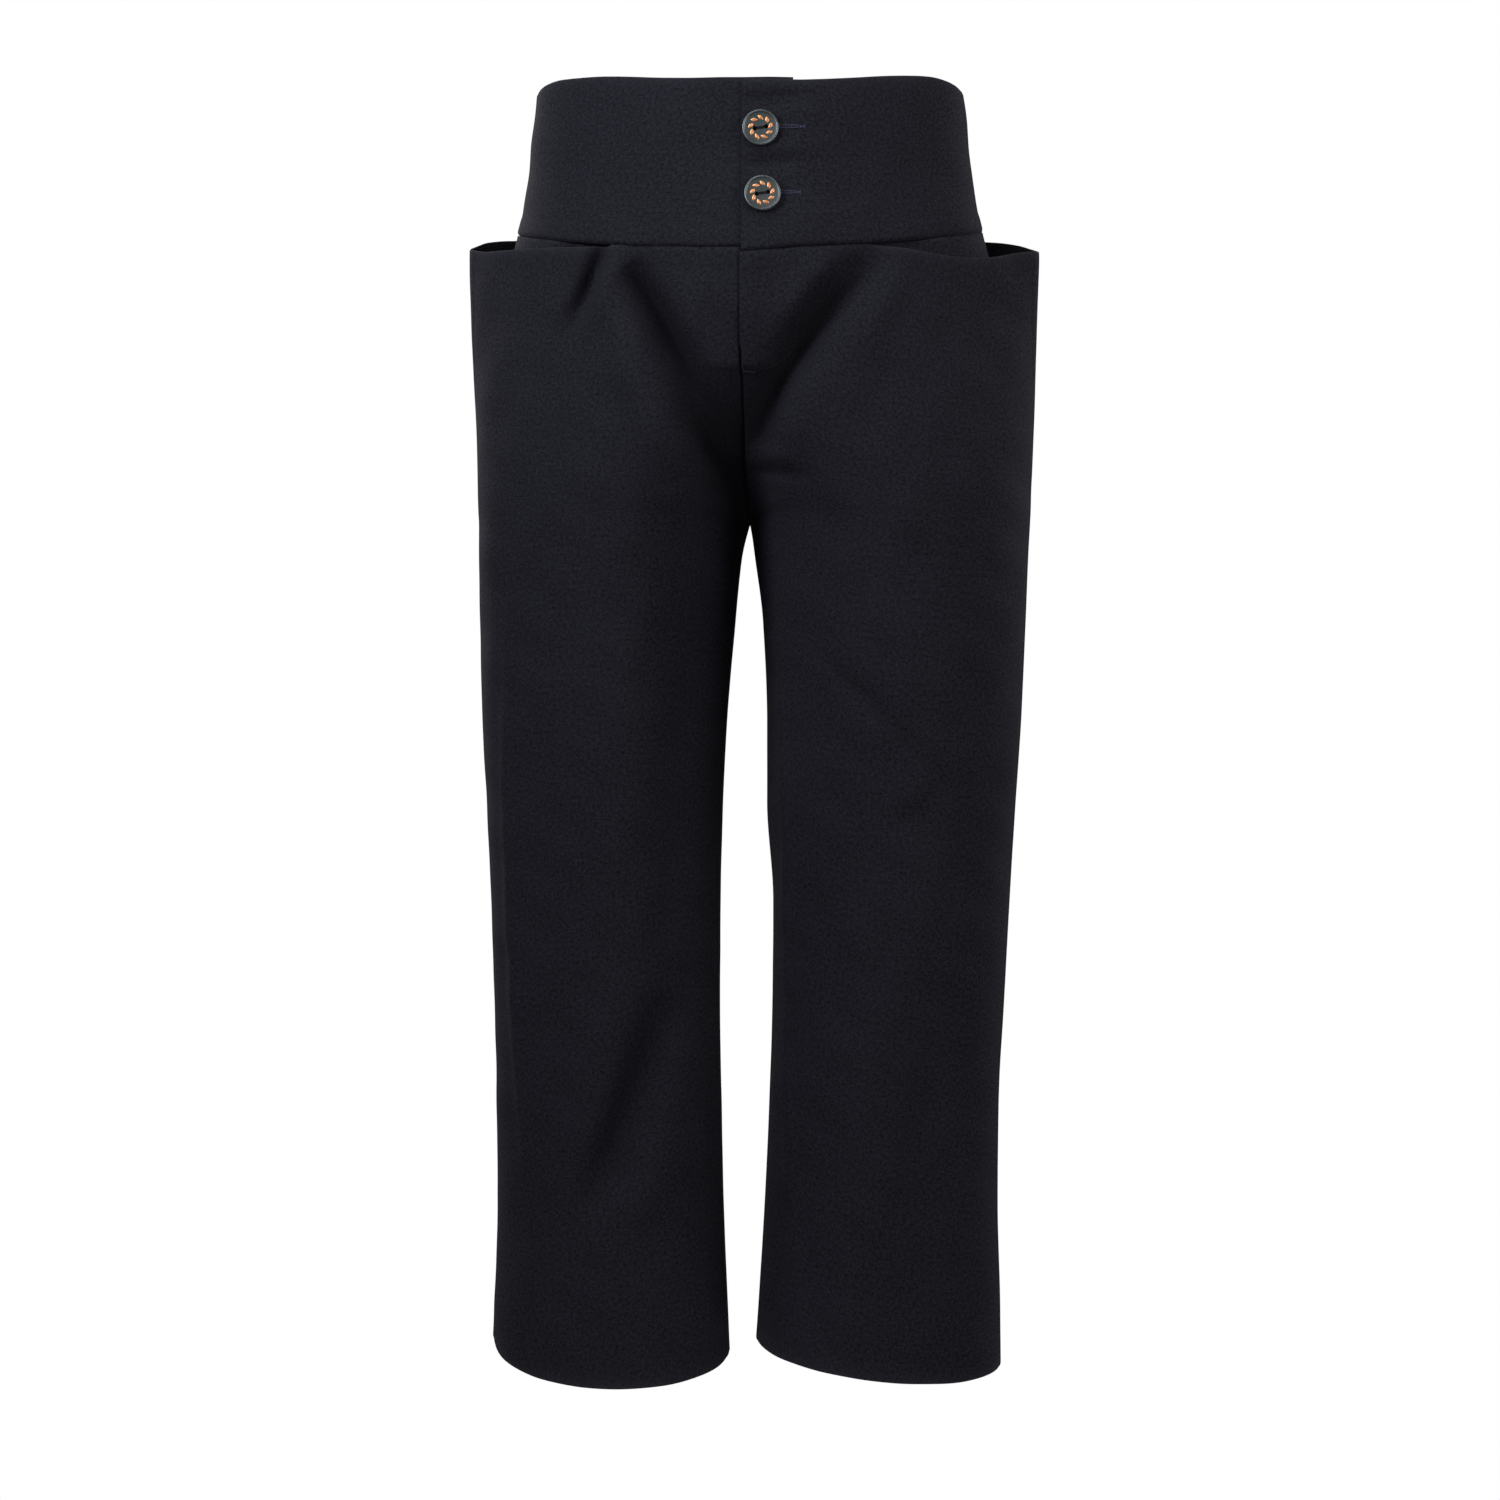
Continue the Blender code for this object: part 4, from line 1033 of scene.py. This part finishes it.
def stitch_tree():
    tree = bpy.data.node_groups.new("Stitches", "GeometryNodeTree")
    group_socket(tree, "Geometry", "NodeSocketGeometry", out=True)
    group_socket(tree, "Places", "NodeSocketGeometry")
    for name, default in STITCH_SIZES.items():
        group_socket(tree, name, "NodeSocketFloat", default)
    group_socket(tree, "Seed", "NodeSocketInt", STITCH_SEED)
    group_socket(tree, "Thread", "NodeSocketMaterial")
    new, link = tree.nodes.new, tree.links.new
    ends = new("NodeGroupInput"), new("NodeGroupOutput")
    given = ends[0].outputs
    strand, size = new("GeometryNodeMeshUVSphere"), new("ShaderNodeCombineXYZ")
    shaped = new("GeometryNodeTransform")
    set_inputs(tree, strand, STRAND)
    set_inputs(tree, size, {"X": given["Length"], "Y": given["Width"], "Z": given["Height"]})
    set_inputs(tree, shaped, {"Geometry": strand.outputs["Mesh"], "Scale": size.outputs[0]})
    turns = []
    for name, axis, pivot in (("along", "X", "AUTO"), ("out", "Z", "X")):
        direction = new("GeometryNodeInputNamedAttribute")
        direction.data_type = "FLOAT_VECTOR"
        direction.inputs["Name"].default_value = name
        turn = new("FunctionNodeAlignRotationToVector")
        turn.axis = axis
        turn.pivot_axis = pivot
        link(direction.outputs["Attribute"], turn.inputs["Vector"])
        turns.append(turn)
    link(turns[0].outputs["Rotation"], turns[1].inputs["Rotation"])
    lean = new("FunctionNodeRandomValue")
    lean.data_type = "FLOAT_VECTOR"
    backward = math_node(tree, "MULTIPLY", given["Lean"], -1.0)
    for socket, value in (("Min", backward), ("Max", given["Lean"])):
        corner = new("ShaderNodeCombineXYZ")
        link(value, corner.inputs["Z"])
        link(corner.outputs[0], lean.inputs[socket])
    link(given["Seed"], lean.inputs["Seed"])
    leaned = leaned_turn(tree, turns[1].outputs["Rotation"], lean.outputs["Value"])
    put_out(tree, given["Places"], shaped.outputs["Geometry"], leaned, given["Thread"], ends[1])
    return tree


stitches = stitch_tree()
print("stitch tree nodes", len(stitches.nodes))

# %% [markdown]
# Thread is glossier than the cloth, since it is twisted hard. The buttonholes are worked in a paler navy
# than the rest, and the button is sewn on with a dark strand. All of them are one material function with
# other values.


# %% The thread's materials
THREAD_SHINE = 0.15
THREAD_TWIST = {"Scale": 1600.0}
THREAD_TONES = (0.55, 1.45)
THREAD_UNEVEN = 0.2


def thread_material(name, colour, roughness):
    material, tree, shader, place = new_material(name)
    twist = noise_node(tree, place, THREAD_TWIST)
    dark, light = ((*(tone * c for c in colour), 1) for tone in THREAD_TONES)
    uneven = math_node(tree, "MULTIPLY", twist, THREAD_UNEVEN)
    look = {
        "Specular IOR Level": THREAD_SHINE,
        "Base Color": colour_mix(tree, twist, dark, light),
        "Roughness": math_node(tree, "ADD", uneven, roughness),
    }
    set_inputs(tree, shader, look)
    return material


THREAD_NAMES = ("colour", "roughness")
THREADS = {
    "navy_thread": ((0.008, 0.008, 0.012), 0.75),
    "buttonhole_thread": ((0.042, 0.044, 0.078), 0.6),
    "tack_thread": ((0.014, 0.012, 0.022), 0.65),
    "button_thread": ((0.006, 0.004, 0.007), 0.6),
}
threads = {name: thread_material(name, **dict(zip(THREAD_NAMES, row))) for name, row in THREADS.items()}
print("threads", list(threads))

# %% [markdown]
# A row of stitches is planned flat, as a path over the front in millimetres, and then dropped onto the
# finished cloth by a ray from the front. The ray also gives the cloth's slope, so that each strand lies on
# it.


# %% Drop a path onto the cloth
RAY_START = -0.3
LOOK_AHEAD = 0.2


def on_cloth(piece, x, z):
    """Where a level ray from the front meets a piece, and the slope there."""
    hit, place, normal, _ = piece.ray_cast(Vector((x * MM, RAY_START, z * MM)), Vector((0, 1, 0)))
    if not hit:
        raise ValueError(f"no cloth of {piece.name} in front at {x:.1f}, {z:.1f}")
    return np.array(place), np.array(normal)


def spaced(path, step):
    """Points every step along a path of (x, z), with the direction there."""
    path = np.array(path, float)
    run = np.concatenate([[0], np.cumsum(np.linalg.norm(np.diff(path, axis=0), axis=1))])
    at = np.arange(step / 2, run[-1], step)
    here, before, after = (
        np.stack([np.interp(at + shift, run, path[:, k]) for k in (0, 1)], axis=1)
        for shift in (0, -LOOK_AHEAD, LOOK_AHEAD)
    )
    ahead = after - before
    return here, ahead / np.linalg.norm(ahead, axis=1, keepdims=True)


def stitch_row(name, places, along, out, length, width, height, thread, lean=0.08):
    """Sets a strand on each place by the stitch tree and returns them as one plain mesh."""
    mesh = bpy.data.meshes.new(name)
    mesh.from_pydata([tuple(p) for p in places], [], [])
    for attribute, values in (("along", along), ("out", out)):
        data = mesh.attributes.new(attribute, "FLOAT_VECTOR", "POINT")
        data.data.foreach_set("vector", np.array(values, np.float32).ravel())
    seeds = bpy.data.objects.new(f"{name}_places", mesh)
    bpy.context.scene.collection.objects.link(seeds)
    modifier = seeds.modifiers.new("stitches", "NODES")
    modifier.node_group = stitches
    values = {"Length": length * MM, "Width": width * MM, "Height": height * MM}
    values |= {"Lean": lean, "Seed": STITCH_SEED, "Thread": thread}
    for socket in stitches.interface.items_tree:
        if socket.item_type == "SOCKET" and socket.name in values:
            modifier[socket.identifier] = values[socket.name]
    bpy.context.view_layer.update()
    graph = bpy.context.evaluated_depsgraph_get()
    made = bpy.data.meshes.new_from_object(seeds.evaluated_get(graph))
    made.name = name
    piece = bpy.data.objects.new(name, made)
    bpy.context.scene.collection.objects.link(piece)
    bpy.data.objects.remove(seeds, do_unlink=True)
    print(name, "stitches", len(places), "faces", len(made.polygons))
    return piece


# %% Sew along a path
def sew(name, piece, path, step, length, width, height, thread, across=False, sunk=0.1, lean=0.08):
    """Stitches along a path over the front, or across it for a satin bar."""
    here, ahead = spaced(path, step)
    places, along, out = [], [], []
    for (x, z), (dx, dz) in zip(here, ahead):
        place, normal = on_cloth(piece, x, z)
        direction = np.array([-dz, 0, dx]) if across else np.array([dx, 0, dz])
        places.append(place + normal * (height / 2 - sunk) * MM)
        along.append(direction - normal * (direction @ normal))
        out.append(normal)
    return stitch_row(name, places, along, out, length, width, height, thread, lean)


# %% [markdown]
# The fly is held by a curved line of stitches that runs down from the waistband, turns in towards the
# centre seam and ends in a bar tack. Two smaller tacks beside it hold the shield underneath.

# %% Sew the fly
FLY_STITCH_X = 35.0
FLY_STITCH_TOP = -117.0
FLY_TURN_TOP = -160.0
FLY_TACK = (4.5, -187.0)
FLY_TURN_POINTS = 16
FLY_STITCH = {"step": 2.6, "length": 2.0, "width": 0.45, "height": 0.35}
TACK_STITCH = {"step": 0.5, "width": 0.5, "height": 0.45, "lean": 0.2}


def fly_path():
    angle = np.linspace(0, np.pi / 2, FLY_TURN_POINTS)
    turn_x = FLY_TACK[0] + (FLY_STITCH_X - FLY_TACK[0]) * np.cos(angle)
    turn_z = FLY_TURN_TOP + (FLY_TACK[1] - FLY_TURN_TOP) * np.sin(angle)
    return [(FLY_STITCH_X, FLY_STITCH_TOP), *zip(turn_x, turn_z)]


TACKS = {
    "fly_tack": ("front_left", [(0.6, -186.5), (8.5, -187.5)], 2.2),
    "shield_tack_upper": ("front_right", [(-35.5, -161), (-32.5, -161.6)], 1.2),
    "shield_tack_lower": ("front_right", [(-35, -176), (-32, -176.6)], 1.2),
}
FLY_STITCH["thread"] = threads["navy_thread"]
sewing = {"fly_stitches": sew("fly_stitches", panels["front_left"], fly_path(), **FLY_STITCH)}
for name, (cloth_name, path, length) in TACKS.items():
    tack = {**TACK_STITCH, "length": length, "thread": threads["tack_thread"], "across": True}
    sewing[name] = sew(name, panels[cloth_name], path, **tack)

# %% [markdown]
# A buttonhole is a short slit whose edges are oversewn with close stitches and closed by a bar at the far
# end. Only the part that the button leaves free shows.

# %% Work the buttonholes
BUTTON_NAMES = ("across", "height", "hole_end")
BUTTONS = {"button_top": (11.8, -34.5, 39.0), "button_bottom": (13.3, -76.4, 36.5)}
SLIT_HALF = 0.8
SLIT_RISE = 1.4
HOLE_START = 4.0
HOLE_TAPER = 6.0
HOLE_BAR = (0.5, 1.5)
HOLE_STITCH = {"step": 0.95, "length": 1.3, "width": 0.5, "height": 0.5, "lean": 0.6}
HOLE_STITCH |= {"thread": threads["buttonhole_thread"], "across": True}
overlap = bands["waistband_front_left"]
for name, row in BUTTONS.items():
    button = dict(zip(BUTTON_NAMES, row))
    z = button["height"] + SLIT_RISE
    end = button["hole_end"]
    for edge, rise in (("upper", SLIT_HALF), ("lower", -SLIT_HALF)):
        hole = f"{name}hole_{edge}"
        path = [(button["across"] - HOLE_START, z + rise), (end - HOLE_TAPER, z + rise), (end, z + rise / 4)]
        sewing[hole] = sew(hole, overlap, path, **HOLE_STITCH)
    hole = f"{name}hole_bar"
    path = [(end + HOLE_BAR[0], z + HOLE_BAR[1]), (end + HOLE_BAR[0], z - HOLE_BAR[1])]
    sewing[hole] = sew(hole, overlap, path, **HOLE_STITCH)

# %% [markdown]
# The buttons are cast: a dark slate disc with a thin paler rim, a shallow dish and two holes, and copper-
# coloured ornament raised inside the rim. The disc is turned from a profile. The ornament is a plain ring
# of leaves, one leaf repeated round the centre by Geometry Nodes.

# %% Find where a button sits
BUTTON_RADIUS = 11.5
BUTTON_THICKNESS = 3.4
BUTTON_RIM = 1.3
BUTTON_DISH = 0.9
BUTTON_HOLE_RADIUS = 1.35
BUTTON_HOLE_SPACING = 7.0
BUTTON_TILT = np.radians(10.0)


def overlap_point(across, height):
    ring = band_ring(height)
    depth = ring["front"] * np.sqrt(1 - (across / ring["half_width"]) ** 2) + OVERLAP_LIFT
    return Vector((across, -float(depth), height))


def button_place(across, height):
    here = overlap_point(across, height)
    along = overlap_point(across + 1, height) - here
    normal = along.cross(overlap_point(across, height + 1) - here).normalized()
    along.normalize()
    turn = Matrix((along, normal.cross(along), normal)).transposed().to_4x4()
    return Matrix.Translation((here + normal * SEAM_GAP) * MM) @ turn @ Matrix.Rotation(BUTTON_TILT, 4, "Z")


for name, row in BUTTONS.items():
    print(name, "at", [round(v / MM, 1) for v in button_place(*row[:2]).translation])

# %% The button's materials
METAL_PATCHES = {"Scale": 700.0, "Detail": 4.0}
METAL_UNEVEN = 0.25
METAL_BUMP = (0.25, 0.0002)


def metal_material(name, colour, dull, roughness, metallic):
    material, tree, shader, place = new_material(name)
    patch = noise_node(tree, place, METAL_PATCHES)
    uneven = math_node(tree, "MULTIPLY", patch, METAL_UNEVEN)
    look = {
        "Metallic": metallic,
        "Base Color": colour_mix(tree, patch, (*dull, 1), (*colour, 1)),
        "Roughness": math_node(tree, "ADD", uneven, roughness),
        "Normal": bump_node(tree, patch, *METAL_BUMP),
    }
    set_inputs(tree, shader, look)
    return material


METAL_NAMES = ("colour", "dull", "roughness", "metallic")
METALS = {
    "slate_button": ((0.050, 0.060, 0.060), (0.02, 0.025, 0.026), 0.42, 0.6),
    "button_rim": ((0.13, 0.15, 0.16), (0.04, 0.045, 0.05), 0.3, 0.9),
    "copper_relief": ((0.85, 0.42, 0.20), (0.35, 0.12, 0.05), 0.32, 0.8),
}
metals = {name: metal_material(name, **dict(zip(METAL_NAMES, row))) for name, row in METALS.items()}
print("metals", list(metals))

# %% Turn the disc
DISC_STEPS = 72
RIM_INSIDE = BUTTON_RADIUS - BUTTON_RIM
DISH_FLOOR = BUTTON_THICKNESS - BUTTON_DISH
RIM_MARGIN = 0.15
HOLE_STEPS = 24
SOFT_EDGE = 0.12
SOFT_ANGLE = np.radians(50)
SHARP_ANGLE = np.radians(40)
MERGE_DISTANCE = 0.00002
DISC_PROFILE = (
    (0.0, DISH_FLOOR),
    (RIM_INSIDE - 1.1, DISH_FLOOR),
    (RIM_INSIDE - 0.6, DISH_FLOOR + 0.12),
    (RIM_INSIDE - 0.25, BUTTON_THICKNESS - 0.35),
    (RIM_INSIDE + 0.1, BUTTON_THICKNESS - 0.05),
    (RIM_INSIDE + 0.4, BUTTON_THICKNESS),
    (BUTTON_RADIUS - 0.45, BUTTON_THICKNESS - 0.04),
    (BUTTON_RADIUS - 0.12, BUTTON_THICKNESS - 0.3),
    (BUTTON_RADIUS, BUTTON_THICKNESS - 0.7),
    (BUTTON_RADIUS - 0.1, 0.8),
    (BUTTON_RADIUS - 0.5, 0.35),
    (BUTTON_RADIUS - 1.7, 0.0),
    (0.0, 0.0),
)


def turned_disc(name):
    """The disc with its two holes bored, still flat at the origin."""
    mesh = bpy.data.meshes.new(name)
    edges = [(k, k + 1) for k in range(len(DISC_PROFILE) - 1)]
    mesh.from_pydata([(x * MM, 0, z * MM) for x, z in DISC_PROFILE], edges, [])
    disc = bpy.data.objects.new(name, mesh)
    bpy.context.scene.collection.objects.link(disc)
    turned = disc.modifiers.new("turned", "SCREW")
    turned.steps = turned.render_steps = DISC_STEPS
    turned.use_merge_vertices = True
    turned.merge_threshold = MERGE_DISTANCE
    cutters = []
    for hole_side in (-1, 1):
        bpy.ops.mesh.primitive_cylinder_add(
            vertices=HOLE_STEPS, radius=BUTTON_HOLE_RADIUS * MM, depth=4 * BUTTON_THICKNESS * MM,
            location=(hole_side * BUTTON_HOLE_SPACING / 2 * MM, 0, 0),
        )
        cutter = bpy.context.object
        hole = disc.modifiers.new("hole", "BOOLEAN")
        hole.operation = "DIFFERENCE"
        hole.solver = "EXACT"
        hole.object = cutter
        cutters.append(cutter)
    softened = disc.modifiers.new("softened", "BEVEL")
    softened.width = SOFT_EDGE * MM
    softened.segments = 2
    softened.angle_limit = SOFT_ANGLE
    bpy.context.view_layer.update()
    made = bpy.data.meshes.new_from_object(disc.evaluated_get(bpy.context.evaluated_depsgraph_get()))
    for old in (disc, *cutters):
        bpy.data.objects.remove(old, do_unlink=True)
    made.materials.clear()
    for title in ("slate_button", "button_rim"):
        made.materials.append(metals[title])
    for face in made.polygons:
        on_rim = face.center.xy.length > (RIM_INSIDE - RIM_MARGIN) * MM
        face.material_index = int(on_rim and face.center.z > BUTTON_THICKNESS * MM / 2)
    made.shade_smooth()
    made.set_sharp_from_angle(angle=SHARP_ANGLE)
    return made


print("points of the disc's profile", len(DISC_PROFILE))

# %% [markdown]
# One leaf is a small pointed dome with a groove for its vein. The tree below puts a copy on each point of a
# circle, turned outwards and leaned to one side, as ordinary wreath patterns are.

# %% Build the leaf ring
LEAF_LENGTH = 4.4
LEAF_WIDTH = 2.2
LEAF_RISE = 0.5
LEAF_COUNT = 9
LEAF_RING_RADIUS = 6.3
LEAF_LEAN = np.radians(52)
LEAF_STEPS = 8
LEAF_POINTING = 0.8
LEAF_DOMING = 0.5
LEAF_SECTION = ((-1, 0.0), (-0.5, 1.0), (0, 0.55), (0.5, 1.0), (1, 0.0))


def leaf_mesh():
    points, faces = [], []
    for k in range(LEAF_STEPS + 1):
        t = k / LEAF_STEPS
        half = LEAF_WIDTH / 2 * np.sin(np.pi * t) ** LEAF_POINTING
        crown = LEAF_RISE * np.sin(np.pi * t) ** LEAF_DOMING
        for share, height in LEAF_SECTION:
            points.append(((t - 0.5) * LEAF_LENGTH * MM, share * half * MM, height * crown * MM))
    row = len(LEAF_SECTION)
    for k in range(LEAF_STEPS):
        for j in range(row - 1):
            a = k * row + j
            faces.append((a, a + row, a + row + 1, a + 1))
    mesh = bpy.data.meshes.new("leaf")
    mesh.from_pydata(points, [], faces)
    return mesh


def ring_tree():
    tree = bpy.data.node_groups.new("Leaf ring", "GeometryNodeTree")
    group_socket(tree, "Geometry", "NodeSocketGeometry", out=True)
    group_socket(tree, "Leaf", "NodeSocketGeometry")
    group_socket(tree, "Count", "NodeSocketInt", LEAF_COUNT)
    group_socket(tree, "Radius", "NodeSocketFloat", LEAF_RING_RADIUS * MM)
    group_socket(tree, "Lean", "NodeSocketFloat", float(LEAF_LEAN))
    group_socket(tree, "Metal", "NodeSocketMaterial")
    new = tree.nodes.new
    ends = new("NodeGroupInput"), new("NodeGroupOutput")
    given = ends[0].outputs
    circle, lean = new("GeometryNodeMeshCircle"), new("ShaderNodeCombineXYZ")
    set_inputs(tree, circle, {"Vertices": given["Count"], "Radius": given["Radius"]})
    set_inputs(tree, lean, {"Z": given["Lean"]})
    turn = new("FunctionNodeAlignRotationToVector")
    turn.axis = "X"
    turn.pivot_axis = "Z"
    set_inputs(tree, turn, {"Vector": new("GeometryNodeInputPosition").outputs[0]})
    leaned = leaned_turn(tree, turn.outputs["Rotation"], lean.outputs[0])
    put_out(tree, circle.outputs["Mesh"], given["Leaf"], leaned, given["Metal"], ends[1])
    return tree


def leaf_ring(name):
    seed = bpy.data.objects.new(f"{name}_leaf", leaf_mesh())
    bpy.context.scene.collection.objects.link(seed)
    modifier = seed.modifiers.new("ring", "NODES")
    modifier.node_group = leaves
    for socket in leaves.interface.items_tree:
        if socket.item_type == "SOCKET" and socket.name == "Metal":
            modifier[socket.identifier] = metals["copper_relief"]
    bpy.context.view_layer.update()
    made = bpy.data.meshes.new_from_object(seed.evaluated_get(bpy.context.evaluated_depsgraph_get()))
    bpy.data.objects.remove(seed, do_unlink=True)
    made.name = name
    return made


leaves = ring_tree()
print("leaf ring nodes", len(leaves.nodes))

# %% Set the buttons in place
STRAND_RISE = 0.3
STRAND_OFFSETS = (-0.4, 0.4)
STRAND_SIZE = {"length": BUTTON_HOLE_SPACING + 0.4, "width": 0.75, "height": 0.9, "lean": 0.03}
buttons = {}
for name, row in BUTTONS.items():
    place = button_place(*row[:2])
    disc_mesh = turned_disc(f"{name}_disc")
    disc_mesh.transform(place)
    disc = bpy.data.objects.new(f"{name}_disc", disc_mesh)
    bpy.context.scene.collection.objects.link(disc)
    relief_mesh = leaf_ring(f"{name}_leaves")
    relief_mesh.transform(place @ Matrix.Translation((0, 0, DISH_FLOOR * MM)))
    relief = bpy.data.objects.new(f"{name}_leaves", relief_mesh)
    bpy.context.scene.collection.objects.link(relief)
    turn = place.to_3x3()
    starts = [Vector((0, offset, DISH_FLOOR + STRAND_RISE)) * MM for offset in STRAND_OFFSETS]
    strands = stitch_row(
        f"{name}_thread",
        [np.array(place @ start) for start in starts],
        [np.array(turn @ Vector((1, 0, 0)))] * 2,
        [np.array(turn @ Vector((0, 0, 1)))] * 2,
        thread=threads["button_thread"],
        **STRAND_SIZE,
    )
    buttons[name] = disc
    sewing[f"{name}_leaves"] = relief
    sewing[f"{name}_thread"] = strands
    print(name, "disc faces", len(disc_mesh.polygons), "leaf faces", len(relief_mesh.polygons))

# %% [markdown]
# The last cells tie the pieces to the imported part. Cloth has no joints, so everything rides on the one
# body. Each piece stands for its solid, which is hidden.

# %% Tie the pieces to the part
cloth = {**panels, **pockets, **bands}
for name, piece in cloth.items():
    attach(piece, "root")
    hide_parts(name)
for name, piece in buttons.items():
    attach(piece, "root")
    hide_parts(name)
for name, piece in sewing.items():
    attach(piece, "root")
print("pieces", len(cloth) + len(buttons) + len(sewing))

# %% [markdown]
# The trousers are shown over a small pale floor, against white. Five soft lights stand round them: a narrow
# key from the viewer's left, a broader fill from the right, one above, and two behind, so that the back
# isn't lost in the dark. Since the key is the hardest, the creases shade to the right. The room is white
# where the camera sees it but lights the cloth only dimly, or the navy would look grey.

# %% Light the studio
FLOOR_HEIGHT = -1.02
FLOOR_RADIUS = 0.58
FLOOR_EDGES = 96
FLOOR_LOOK = {"Base Color": (0.86, 0.86, 0.86, 1), "Roughness": 0.7}
ROOM_LIGHT = 0.24
LIGHT_SPREAD = np.radians(85)
LIGHT_NAMES = ("place", "size", "energy", "colour", "target")
LIGHTS = {
    "key_light": ((-1.3, -1.3, 0.6), 0.7, 9.6, (0.98, 0.99, 1.03), (0, 0, 0.25)),
    "fill_light": ((1.9, -1.25, 0.4), 1.2, 9.2, (1.0, 1.0, 0.96), (0, 0, 0.1)),
    "top_light": ((-0.5, -0.9, 1.6), 1.1, 5.2, (1.0, 1.0, 1.0), (0, 0, 0.1)),
    "back_light_left": ((-1.3, 1.6, 0.7), 1.2, 9.0, (1.0, 1.0, 1.0), (0, 0, -0.2)),
    "back_light_right": ((1.5, 1.4, 0.5), 1.2, 6.0, (1.0, 1.0, 1.0), (0, 0, -0.2)),
}


def soft_light(name, place, size, energy, colour, target):
    data = bpy.data.lights.new(name, "AREA")
    data.shape = "SQUARE"
    data.size = size
    data.energy = energy
    data.spread = LIGHT_SPREAD
    data.color = colour
    light = bpy.data.objects.new(name, data)
    light.location = place
    light.rotation_euler = (Vector(target) - Vector(place)).to_track_quat("-Z", "Y").to_euler()
    bpy.context.scene.collection.objects.link(light)


bpy.ops.mesh.primitive_circle_add(
    vertices=FLOOR_EDGES, radius=FLOOR_RADIUS, fill_type="NGON", location=(0, 0, FLOOR_HEIGHT)
)
floor = bpy.context.object
floor.name = "floor"
pale_floor, tree, shader, _ = new_material("pale_floor")
set_inputs(tree, shader, FLOOR_LOOK)
floor.data.materials.append(pale_floor)
for name, row in LIGHTS.items():
    soft_light(name, **dict(zip(LIGHT_NAMES, row)))
world = bpy.data.worlds.new("white room")
world.use_nodes = True
room = world.node_tree
seen = room.nodes.new("ShaderNodeLightPath")
level = room.nodes.new("ShaderNodeMix")
set_inputs(room, level, {"Factor": seen.outputs["Is Camera Ray"], "A": ROOM_LIGHT, "B": 1.0})
set_inputs(room, room.nodes["Background"], {"Color": (1, 1, 1, 1), "Strength": level.outputs["Result"]})
bpy.context.scene.world = world
bpy.context.scene.view_settings.view_transform = "Standard"
print("lights", [item.name for item in bpy.data.lights])

# %% Finish
bpy.context.view_layer.update()
